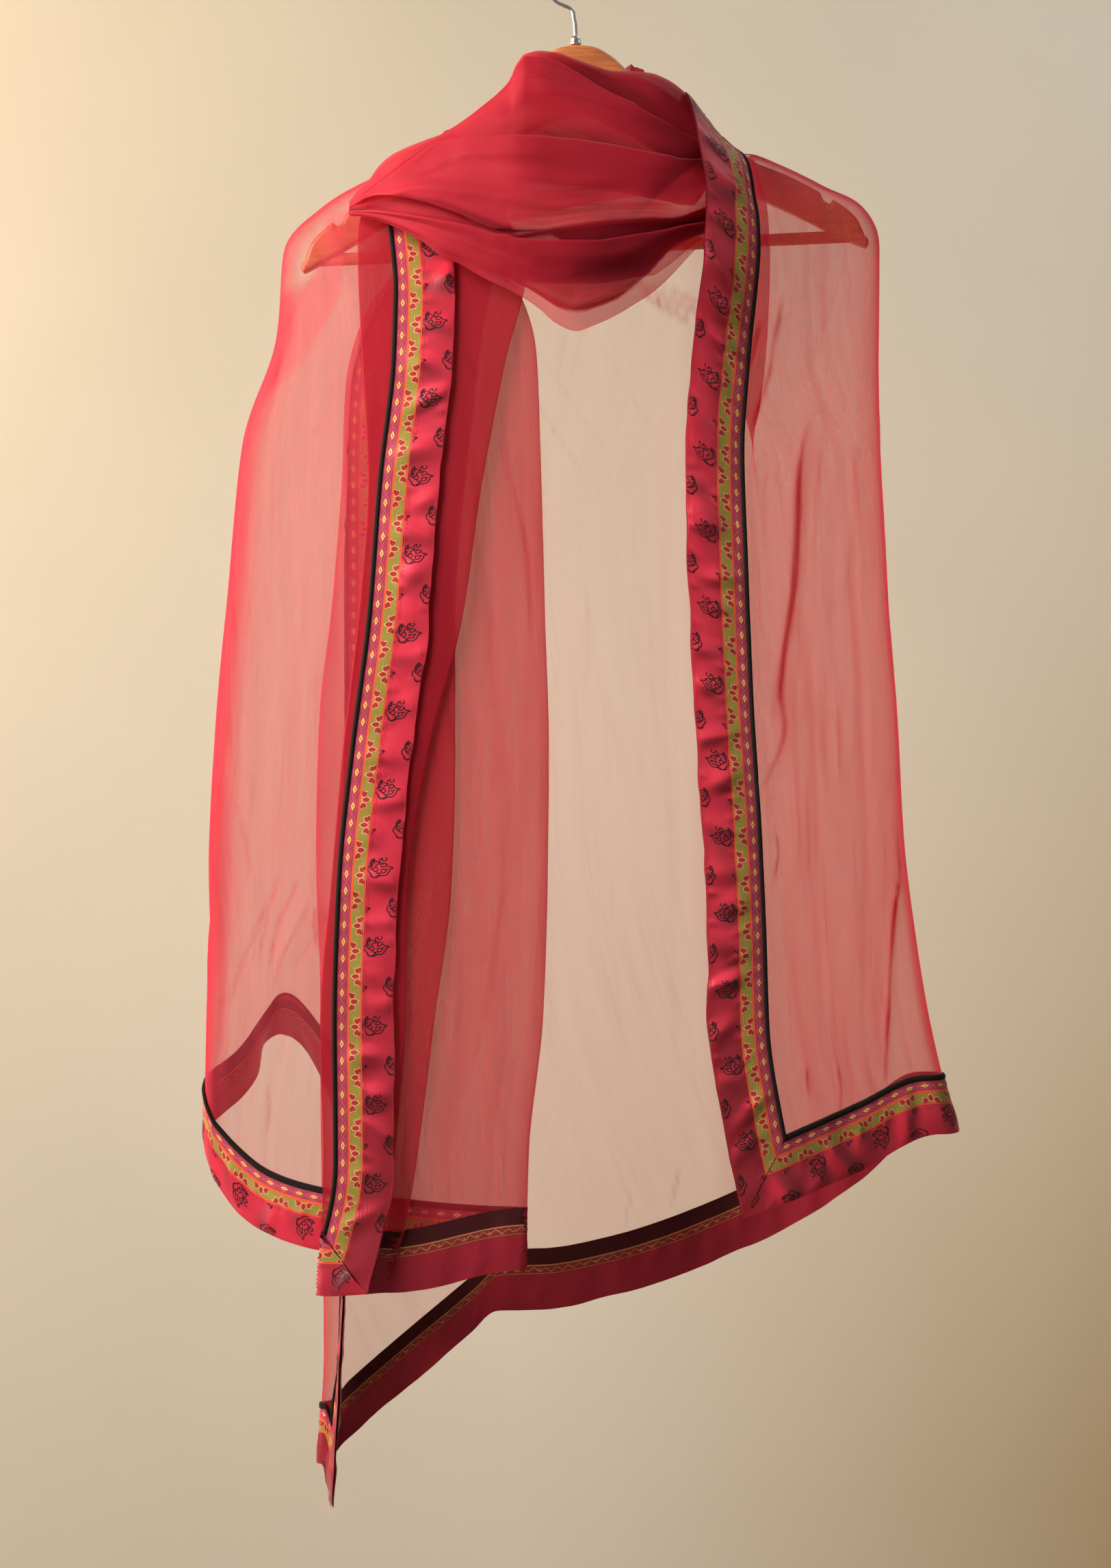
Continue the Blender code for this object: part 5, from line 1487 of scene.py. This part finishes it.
STRIPES = [  # across the tape: from, to, material
    (24.15, 25.6, "edge"),
    (25.6, 33.8, "green"),
    (33.8, 35.3, "orange"),
    (35.3, 43.2, "pink"),
]
LIFT = 1.15


def outwards(run, v, faces, D, L, i, n):
    """Faces of a band, turned to the side its trim lies on."""
    votes = 0.0
    for j in range(n // 5, n - 1, max(1, n // 9)):
        q = faces[i * (n - 1) + j]
        nn = np.cross(v[q[1]] - v[q[0]], v[q[3]] - v[q[0]])
        ref = run.point(D[i, j], L[i, j], 5.0) - run.point(D[i, j], L[i, j], 0.0)
        votes += np.sign(np.dot(nn, ref))
    return [f[::-1] for f in faces] if votes < 0 else faces


def border(prefix, fall, kind, side, seed, reverse_shows=False):
    run = Run(fall, kind, side)
    run.gather(seed + 70)
    pieces = []
    g = np.random.default_rng(seed)
    n = max(60, int(run.length / 2.4))

    def band(name, stops, mats, face_of, lift, hump=0.0, flip=False):
        """Strip through the distances in stops; mats[face_of[i]] between i and i+1."""
        cols = []
        for d in stops:
            a, b = run.span(d)
            l = np.linspace(a + 0.15, b - 0.15, n)
            w = (d - stops[0]) / (stops[-1] - stops[0])
            cols.append((np.full(n, d), l, lift + hump * math.sin(math.pi * w)))
        D = np.array([c[0] for c in cols])
        L = np.array([c[1] for c in cols])
        H = np.array([np.full(n, c[2]) for c in cols])
        P = run.point(D, L, H)
        m = len(stops)
        faces, mat = [], []
        for i in range(m - 1):
            for j in range(n - 1):
                a = i * n + j
                faces.append((a, a + 1, a + n + 1, a + n))
                mat.append(face_of[i])
        v = P.reshape(-1, 3)
        # faces outwards: compare with the surface normal
        order = outwards(run, v, faces, D, L, 1, n)
        faces = [f[::-1] for f in order] if flip else order
        attrs = None
        if name == "satin_band":
            # painted shade and highlight: the slope of the puckers' relief, lighter where it turns up, darker where it
            # turns down
            painted_fold_shade = (run.relief(D, L + 1.6) - run.relief(D, L - 1.6)) / 3.2
            if L.max() > 600:                  # painted shade: a long edge is made darker towards both ends, as if it fell away from the light
                painted_fold_shade = painted_fold_shade + 0.03 - 0.16 * (2.0 * L / L.max() - 1.0) ** 2 * np.where(L > 0.5 * L.max(), 2.8, 1.1)
            attrs = {"fold": painted_fold_shade.ravel()}
        return new_mesh(f"{prefix}_{name}", v, faces, mats, mat, uv=np.stack([D.ravel(), L.ravel()], axis=1) * MM,
                        attrs=attrs), faces

    satin, _ = band("satin_band", [0.0, 0.5, 3, 6, 9, 12, 15, 18, 21, 23.6, 24.2], [M_SATIN],
                    [0] * 10, LIFT, 0.5)
    st = [24.15]
    face_of = []
    for k_, (a, b, c) in enumerate(STRIPES):
        parts_ = 3 if b - a > 4 else 1
        for i in range(parts_):
            st.append(a + (b - a) * (i + 1) / parts_)
            face_of.append(k_)
    tape, _ = band("printed_tape_band", st, [M[c] for _, _, c in STRIPES], face_of, LIFT + 0.15, 0.15)

    # piping: a half-round cord along the inner edge
    across = np.linspace(0, math.pi, 7)
    stops = [44.9 - 1.95 * math.cos(t) for t in across]
    cols = []
    for d, t in zip(stops, across):
        a, b = run.span(d)
        cols.append((np.full(n, d), np.linspace(a + 0.15, b - 0.15, n), np.full(n, LIFT - 0.4 + 1.7 * math.sin(t))))
    D, L, H = (np.array([c[i] for c in cols]) for i in range(3))
    v = run.point(D, L, H).reshape(-1, 3)
    faces = [(i * n + j, i * n + j + 1, (i + 1) * n + j + 1, (i + 1) * n + j) for i in range(6) for j in range(n - 1)]
    faces = outwards(run, v, faces, D, L, 3, n)
    piping = new_mesh(f"{prefix}_piping_cord", v, faces, [M["piping"]],
                      uv=np.stack([D.ravel(), L.ravel()], axis=1) * MM)

    # ---- printed motifs
    names = ["ink", "dark_red", "cream", "lilac", "crimson", "yellow", "dot", "orange", "thread", "green"]
    idx = {k_: i for i, k_ in enumerate(names)}
    pr = Print(run, LIFT)
    a_l, b_l = run.span(0.0)
    pitch, start = 59.0, g.uniform(6, 40)
    l = start - pitch
    top_satin = 0.62
    first, last = (a_l - 20, b_l - 27) if b_l > 600 else (a_l + 27, b_l - 27)  # the mitred corners stay plain
    while l < b_l + 20:
        for stroke in ROSE:
            v, f = ribbon2d(stroke, 0.70)
            if first < l < last:
                pr.put(v, f, 14.6, l, idx["ink"], top_satin, flip_d=-1, d_lo=0.4, d_hi=23.6)
            pr.put(v, f, -1.4, l + pitch / 2, idx["ink"], top_satin, flip_d=-1, d_lo=0.4, d_hi=23.6)
            pr.put(v, f, 29.9, l + pitch / 2 + 1.0, idx["ink"], top_satin, flip_d=-1, d_lo=0.4, d_hi=23.6)
        l += pitch
    # stitches along both edges of the satin
    sew = np.random.default_rng(71 + len(prefix))
    for d_ in (1.3, 22.6):
        l = a_l + 1.5
        while l < b_l - 1.5:
            long = sew.uniform(2.0, 2.5)
            drift = sew.uniform(-0.12, 0.12)
            v, f = ribbon2d([(d_ + drift, l), (d_ - drift, l + long)], 0.34)
            pr.put(v, f, 0.0, 0.0, idx["thread"], top_satin + 0.05, d_lo=0.4, d_hi=23.6)
            l += long + 1.0
    # half lotus flowers, turned left and right by turns
    def tear(long, wide, angle, ox, oy):
        p = np.concatenate([bez((0, 0), (0.12 * long, -0.62 * wide), (0.72 * long, -0.66 * wide), (long, 0), 9),
                            bez((long, 0), (0.72 * long, 0.66 * wide), (0.12 * long, 0.62 * wide), (0, 0), 9)[1:]])
        c_, s_ = math.cos(math.radians(angle)), math.sin(math.radians(angle))
        return p @ np.array([[c_, s_], [-s_, c_]]) + np.array([ox, oy])
    flower = [(4.6, 3.8, 84, 0.5, 3.0), (4.6, 3.8, -84, 0.5, -3.0), (6.2, 4.4, 46, 0.2, 2.0), (6.2, 4.4, -46, 0.2, -2.0),
              (7.7, 4.9, 0, 0.0, 0.0)]
    l, k_ = a_l + g.uniform(2, 8), 0
    while l < b_l:
        d0, fd = (33.6, -1) if k_ % 2 == 0 else (25.8, 1)
        for long, wide, ang, ox, oy in flower:
            p = tear(long, wide, ang, ox, oy)
            v, f = fan2d(p[:-1])
            pr.put(v, f, d0, l, idx["cream"], 0.34, flip_d=fd, d_lo=25.7, d_hi=33.7)
            c_ = p[:-1].mean(axis=0)
            v, f = fan2d(c_ + (p[:-1] - c_) * 0.74)
            pr.put(v, f, d0, l, idx["dark_red"], 0.42, flip_d=fd, d_lo=25.7, d_hi=33.7)
        v, f = ribbon2d(bez((0.2, -4.2), (2.2, -2.2), (2.2, 2.2), (0.2, 4.2), 7), 0.5)
        pr.put(v, f, d0, l, idx["cream"], 0.38, flip_d=fd, d_lo=25.7, d_hi=33.7)
        l += 18.9
        k_ += 1
    # diamonds and the wavy lattice
    per = 12.7
    cd = 39.25
    t = np.linspace(a_l, b_l, int((b_l - a_l) / 1.1))
    for sgn in (1, -1):
        w = 2.5 * np.cos(math.pi * (t - a_l) / per) * sgn
        w = np.where(np.abs(w) > 9, 0, w)
        path = np.stack([cd + 2.9 * sgn * np.abs(np.sin(math.pi * (t - a_l) / per)), t], axis=1)
        v, f = ribbon2d(path, 0.62)
        pr.put(v, f, 0.0, 0.0, idx["lilac"], 0.40, d_lo=35.5, d_hi=43.1)
    l = a_l + per / 2
    dia = np.array([(1.0, 0), (0, 1.0), (-1.0, 0), (0, -1.0)])
    while l < b_l:
        for sx, sy, mat, h in ((2.8, 4.9, "lilac", 0.44), (2.35, 4.2, "crimson", 0.50), (1.6, 3.4, "yellow", 0.56),
                               (0.7, 1.4, "dot", 0.62)):
            v, f = fan2d(dia * [sx, sy])
            pr.put(v, f, cd, l, idx[mat], h, d_lo=35.5, d_hi=43.2)
        l += per
    decals = pr.build(f"{prefix}_print", [M[k2] for k2 in names])
    # orient decals outwards
    orient(decals, run)
    pieces += [satin, tape, piping, decals]

    # the wrong side: dull satin, a red line worked in gold, the dark back of the tape
    lining, _ = band("wrong_side", [0.0, 8.0, 16.0, 22.0, 27.6, 31.2, 34.8, 40.0, 46.5],
                     [M["reverse_satin"], M["reverse_red"], M["reverse_dark"]], [0, 0, 0, 0, 1, 1, 2, 2], -0.3,
                     flip=True)
    pieces.append(lining)
    if reverse_shows:
        rv = Print(run, 0.0)
        l = a_l
        while l < b_l:
            w_, t_ = g.uniform(0.9, 1.25), g.uniform(-0.5, 0.5)
            zig = np.array([(29.4 + t_, l), (30.6, l + 1.6 * w_), (32.2 + t_, l + 3.4), (33.0 + t_, l + 4.6), (32.2, l + 5.8), (30.6 + t_, l + 7.6), (29.4, l + 9.2)])
            v, f = ribbon2d(zig, g.uniform(0.5, 0.8))
            rv.put(v, f, 0, 0, 0, -0.42, d_lo=27.7, d_hi=34.7)
            if g.uniform() < 0.7:
                v, f = fan2d(arc(31.0 + t_, l + 0.2, g.uniform(0.6, 0.95), 0, 360, 10)[:-1])
                rv.put(v, f, 0, 0, 0, -0.46, d_lo=27.7, d_hi=34.7)
            l += 9.2
        for d_, w_ in ((34.5, 0.7), (28.0, 0.5)):
            k2 = int((b_l - a_l) / 3)
            v, f = ribbon2d(np.stack([np.full(k2, d_), np.linspace(a_l, b_l, k2)], axis=1), w_)
            rv.put(v, f, 0, 0, 0, -0.46, d_lo=24, d_hi=36)
        ob = rv.build(f"{prefix}_reverse_line", [M["gold"]])
        orient(ob, run, -1.0)
        pieces.append(ob)
    return pieces, run


def orient(ob, run, sign=1.0):
    """Turn every face of a decal mesh to the outer (or inner) side."""
    me = ob.data
    bm = bmesh.new()
    bm.from_mesh(me)
    uvl = bm.loops.layers.uv.active
    cents, faces = [], list(bm.faces)
    d = np.array([f.loops[0][uvl].uv[0] for f in faces]) / MM
    l = np.array([f.loops[0][uvl].uv[1] for f in faces]) / MM
    ref = run.point(d, l, 5.0) - run.point(d, l, 0.0)
    flip = [f for f, r in zip(faces, ref) if f.normal.dot(Vector(r)) * sign < 0]
    bmesh.ops.reverse_faces(bm, faces=flip)
    bm.to_mesh(me)
    bm.free()


RUNS = {}
for prefix, fall, kind, side, seed, rev in (
        ("right_front_edge", right, "first", -1.0, 1, True),
        ("right_back_edge", right, "last", -1.0, 2, True),
        ("right_hem", right, "hem", -1.0, 3, True),
        ("left_front_edge", left, "first", 1.0, 4, True),
        ("left_back_edge", left, "last", 1.0, 5, True),
        ("left_hem", left, "hem", 1.0, 6, True)):
    RUNS[prefix] = border(prefix, fall, kind, side, seed, rev)

# ===================================================================== hanger
def hanger_point(x, z):
    c, s_ = math.cos(HANGER_ROLL), math.sin(HANGER_ROLL)
    return NECK_TOP[0] + x * c - z * s_, NECK_TOP[1] + x * s_ + z * c


def build_arms():
    arm = np.array(ARM)
    xs = np.concatenate([np.linspace(0, 60, 24, endpoint=False), np.linspace(60, 181, 30), [182, 183.5, 188, 189.5],
                         np.linspace(191, 214, 14)])
    top = hermite(arm[:, 0], arm[:, 1], xs)
    notch = np.clip(np.minimum((xs - 181.6) / 1.2, (190.0 - xs) / 1.2), 0, 1)
    top = top - 5.0 * notch
    xb = np.linspace(214, 0, 50)
    bot = hermite(arm[:, 0], arm[:, 2], xb)
    cap = [(214 + 2.5 * math.sin(a), -160.2 + 4.2 * math.cos(a)) for a in np.linspace(0.5, math.pi - 0.3, 7)]
    half = list(zip(xs, top)) + cap + list(zip(xb, bot))
    outline = half + [(-px, pz) for px, pz in half if px > 0.01][::-1]
    pts = [hanger_point(a, b) for a, b in outline]
    cu = bpy.data.curves.new("arms_curve", "CURVE")
    cu.dimensions, cu.fill_mode = "2D", "BOTH"
    bev = 3.6
    cu.extrude, cu.bevel_depth, cu.bevel_resolution, cu.offset = (HANGER_THICK / 2 - bev) * MM, bev * MM, 5, -bev * MM
    sp = cu.splines.new("POLY")
    sp.points.add(len(pts) - 1)
    for p, (a, b) in zip(sp.points, pts):
        p.co = (a * MM, b * MM, 0.0, 1.0)
    sp.use_cyclic_u = True
    tmp = bpy.data.objects.new("arms_tmp", cu)
    bpy.context.scene.collection.objects.link(tmp)
    tmp.rotation_euler = (math.radians(90), 0, 0)
    bpy.context.view_layer.update()
    me = bpy.data.meshes.new_from_object(tmp.evaluated_get(bpy.context.evaluated_depsgraph_get()))
    me.transform(tmp.matrix_world)
    bm = bmesh.new()
    bm.from_mesh(me)
    bmesh.ops.remove_doubles(bm, verts=bm.verts[:], dist=0.00001)
    bmesh.ops.recalc_face_normals(bm, faces=bm.faces[:])
    bm.to_mesh(me)
    bm.free()
    bpy.data.objects.remove(tmp, do_unlink=True)
    me.materials.clear()
    me.materials.append(M_WOOD)
    me.shade_smooth()
    me.set_sharp_from_angle(angle=math.radians(50))
    ob = bpy.data.objects.new("wooden_arms", me)
    bpy.context.scene.collection.objects.link(ob)
    made.append(ob)
    return ob


def tube(name, path, r, mat, seg=20, cap=True):
    """Round bar along a 3-D path in mm, its ends closed with flat caps."""
    p = np.asarray(path, float)
    t = np.gradient(p, axis=0)
    t /= np.linalg.norm(t, axis=1)[:, None]
    up = np.array([0.0, 1.0, 0.0])
    a = np.cross(t, up)
    a /= np.linalg.norm(a, axis=1)[:, None]
    b = np.cross(t, a)
    ang = np.linspace(0, 2 * math.pi, seg, endpoint=False)
    rr = np.broadcast_to(np.asarray(r, float), (len(p),))
    ring = p[:, None, :] + rr[:, None, None] * (np.cos(ang)[None, :, None] * a[:, None, :] + np.sin(ang)[None, :, None] * b[:, None, :])
    v = ring.reshape(-1, 3)
    n = len(p)
    f = [(i * seg + j, i * seg + (j + 1) % seg, (i + 1) * seg + (j + 1) % seg, (i + 1) * seg + j) for i in range(n - 1) for j in range(seg)]
    f.append(tuple(range(seg))[::-1])
    f.append(tuple((n - 1) * seg + j for j in range(seg)))
    ob = new_mesh(name, v, f, [mat])
    bm = bmesh.new()
    bm.from_mesh(ob.data)
    bmesh.ops.recalc_face_normals(bm, faces=bm.faces[:])
    bm.to_mesh(ob.data)
    bm.free()
    ob.data.shade_smooth()
    ob.data.set_sharp_from_angle(angle=math.radians(50))
    return ob


o_arms = build_arms()
a, b = hanger_point(-203, -155.0), hanger_point(203, -155.0)
o_bar = tube("wooden_bar", [(a[0] + (b[0] - a[0]) * q, 0.0, a[1] + (b[1] - a[1]) * q) for q in np.linspace(0, 1, 12)],
             4.75, M_WOOD, 28)
HOOK_R, WIRE = 21.0, 1.6
c_r, cz = HOOK_R + WIRE, -HOOK_R
fb = hanger_point(0, 0)
sb = fb[1] + 7.6
path = [(fb[0], sb), (fb[0] - 0.15, sb + 4), (fb[0] - 0.3, sb + 8.0), (0.4, (sb + 8 + cz - c_r - 3) / 2), (-0.5, cz - c_r - 3.0)]
path += [(-c_r * math.sin(math.radians(q)), cz - c_r * math.cos(math.radians(q))) for q in range(24, 263, 5)]
p2 = np.array(path)
tt = line_lengths(p2)
keep = np.concatenate([[True], np.diff(tt) > 1e-4])
fine = hermite(tt[keep], p2[keep], np.linspace(0, tt[-1], 150))
rr = np.full(150, WIRE)
rr[-3:] = [WIRE * 0.97, WIRE * 0.8, WIRE * 0.45]
o_hook = tube("wire_hook", [(q[0], 0.0, q[1]) for q in fine], rr, M_STEEL, 18)
prof = [(3.2, 0.0), (4.45, 0.4), (4.5, 1.4), (4.2, 2.0), (4.0, 4.6), (3.7, 5.8), (2.6, 6.8), (1.9, 7.0)]
o_ferrule = tube("hook_ferrule", [(fb[0], 0.0, fb[1] + 0.3 + h * 0.96) for _, h in prof], [q for q, _ in prof], M_STEEL, 28)

# ================================================================ parts under one root, the CAD parts they stand for hidden
pairs = [
    (o_right, ["stole_right_end"], "sheer_silk"),
    (o_left, ["stole_left_end"], "sheer_silk"),
    (o_cowl, ["stole_front_drape"], "sheer_silk"),
    (o_wrap, ["stole_neck_wrap"], "sheer_silk"),
    (o_arms, ["hanger_arms"], "honey_wood"),
    (o_bar, ["hanger_bar"], "honey_wood"),
    (o_hook, ["hanger_hook"], "hook_steel"),
    (o_ferrule, ["hanger_ferrule"], "hook_steel"),
]
for prefix, (pieces, run) in RUNS.items():
    satin, tape, piping, decals = pieces[:4]
    pairs += [(satin, [f"{prefix}_satin"], "crimson_satin"), (tape, [f"{prefix}_tape"], "printed_tape"),
              (piping, [f"{prefix}_piping"], "dark_piping"), (decals, [], "printed_tape")]
    for extra in pieces[4:]:
        pairs.append((extra, [], "printed_tape"))
for ob, nodes, slot in pairs:
    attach(ob, "root")
    if nodes:
        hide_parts(*nodes)


sheet_extra = {"right": [], "left": []}
for prefix, (pieces, run) in RUNS.items():
    sheet_extra[prefix.split("_")[0]] += pieces

# ===================================================================== studio
def plane(name, pts, mat):
    me = bpy.data.meshes.new(name)
    me.from_pydata(pts, [], [tuple(range(len(pts)))])
    me.materials.append(mat)
    ob = bpy.data.objects.new(name, me)
    bpy.context.scene.collection.objects.link(ob)
    return ob


def make_wall():
    k = Nodes("pale_wall")
    co = k.add("ShaderNodeTexCoord").outputs["Object"]
    n = k.add("ShaderNodeTexNoise", {"Vector": co, "Scale": 3.0, "Detail": 3.0}).outputs[0]
    col = k.ramp(n, [(0.3, srgb(206, 198, 184)), (0.7, srgb(211, 203, 190))])
    # painted shade: the wall colour darkens towards the right and the bottom
    xyz = k.add("ShaderNodeSeparateXYZ", {0: co})
    gx = k.math("MULTIPLY", k.math("ADD", xyz.outputs[0], 0.05), 1.67, clamp=True)
    gz = k.math("MULTIPLY", xyz.outputs[2], -0.74, clamp=True)
    painted_corner_shade = k.math("MULTIPLY", gx, gz)
    col = k.add("ShaderNodeMix", {0: painted_corner_shade, 6: col, 7: (0.39, 0.30, 0.19, 1)}, data_type="RGBA").outputs[2]
    b = k.add("ShaderNodeBsdfPrincipled", {"Base Color": col, "Roughness": 0.9, "Specular IOR Level": 0.1}).outputs[0]
    k.link(b, k.out.inputs[0])
    return k.m


M_WALL = make_wall()
WALL_Y, FLOOR_Z = 0.95, -1.75
plane("backdrop", [(-4, WALL_Y, FLOOR_Z), (4, WALL_Y, FLOOR_Z), (4, WALL_Y, 2.2), (-4, WALL_Y, 2.2)], M_WALL)
plane("floor", [(-4, -5, FLOOR_Z), (4, -5, FLOOR_Z), (4, WALL_Y, FLOOR_Z), (-4, WALL_Y, FLOOR_Z)], M_WALL)


def area_light(name, loc, target, size, power, colour, size_y=None):
    li = bpy.data.lights.new(name, "AREA")
    li.energy, li.color = power, colour
    li.shape = "RECTANGLE"
    li.size, li.size_y = size, size_y or size
    ob = bpy.data.objects.new(name, li)
    bpy.context.scene.collection.objects.link(ob)
    ob.location = loc
    d = Vector(target) - Vector(loc)
    ob.rotation_euler = d.to_track_quat("-Z", "Y").to_euler()
    return ob


area_light("key", (-1.6, -1.05, 0.45), (-0.12, 0.0, -0.47), 0.9, 6.8, (1.0, 0.955, 0.90)).data.spread = math.radians(46)
area_light("fill", (1.7, -2.2, 0.1), (0.0, 0.0, -0.6), 1.6, 3.2, (1.0, 0.97, 0.93))
area_light("wall_glow", (-1.60, 0.10, 0.30), (-0.55, 0.95, -0.20), 0.9, 30, (1.0, 0.77, 0.45))
area_light("wall_side", (-1.70, -0.30, -0.55), (-0.50, 0.95, -0.65), 1.0, 16, (0.97, 0.98, 1.0))
area_light("wall_wash", (0.75, 0.25, 0.75), (0.22, 0.95, -0.15), 0.8, 5, (0.86, 0.96, 1.0))
world = bpy.data.worlds.new("studio")
bpy.context.scene.world = world
world.use_nodes = True
world.node_tree.nodes["Background"].inputs[0].default_value = (1.0, 0.965, 0.92, 1)
world.node_tree.nodes["Background"].inputs[1].default_value = 0.20

cam = bpy.data.cameras.new("photo_camera")
cam.lens = 90.3
cam.sensor_width = 36.0
cam.clip_start, cam.clip_end = 0.05, 20
co = bpy.data.objects.new("photo_camera", cam)
bpy.context.scene.collection.objects.link(co)
co.location = (-0.0136, -3.0, -0.6363)
co.rotation_euler = (math.radians(90), 0, 0)
bpy.context.scene.camera = co
bpy.context.scene.view_settings.view_transform = "Standard"

bpy.context.view_layer.update()
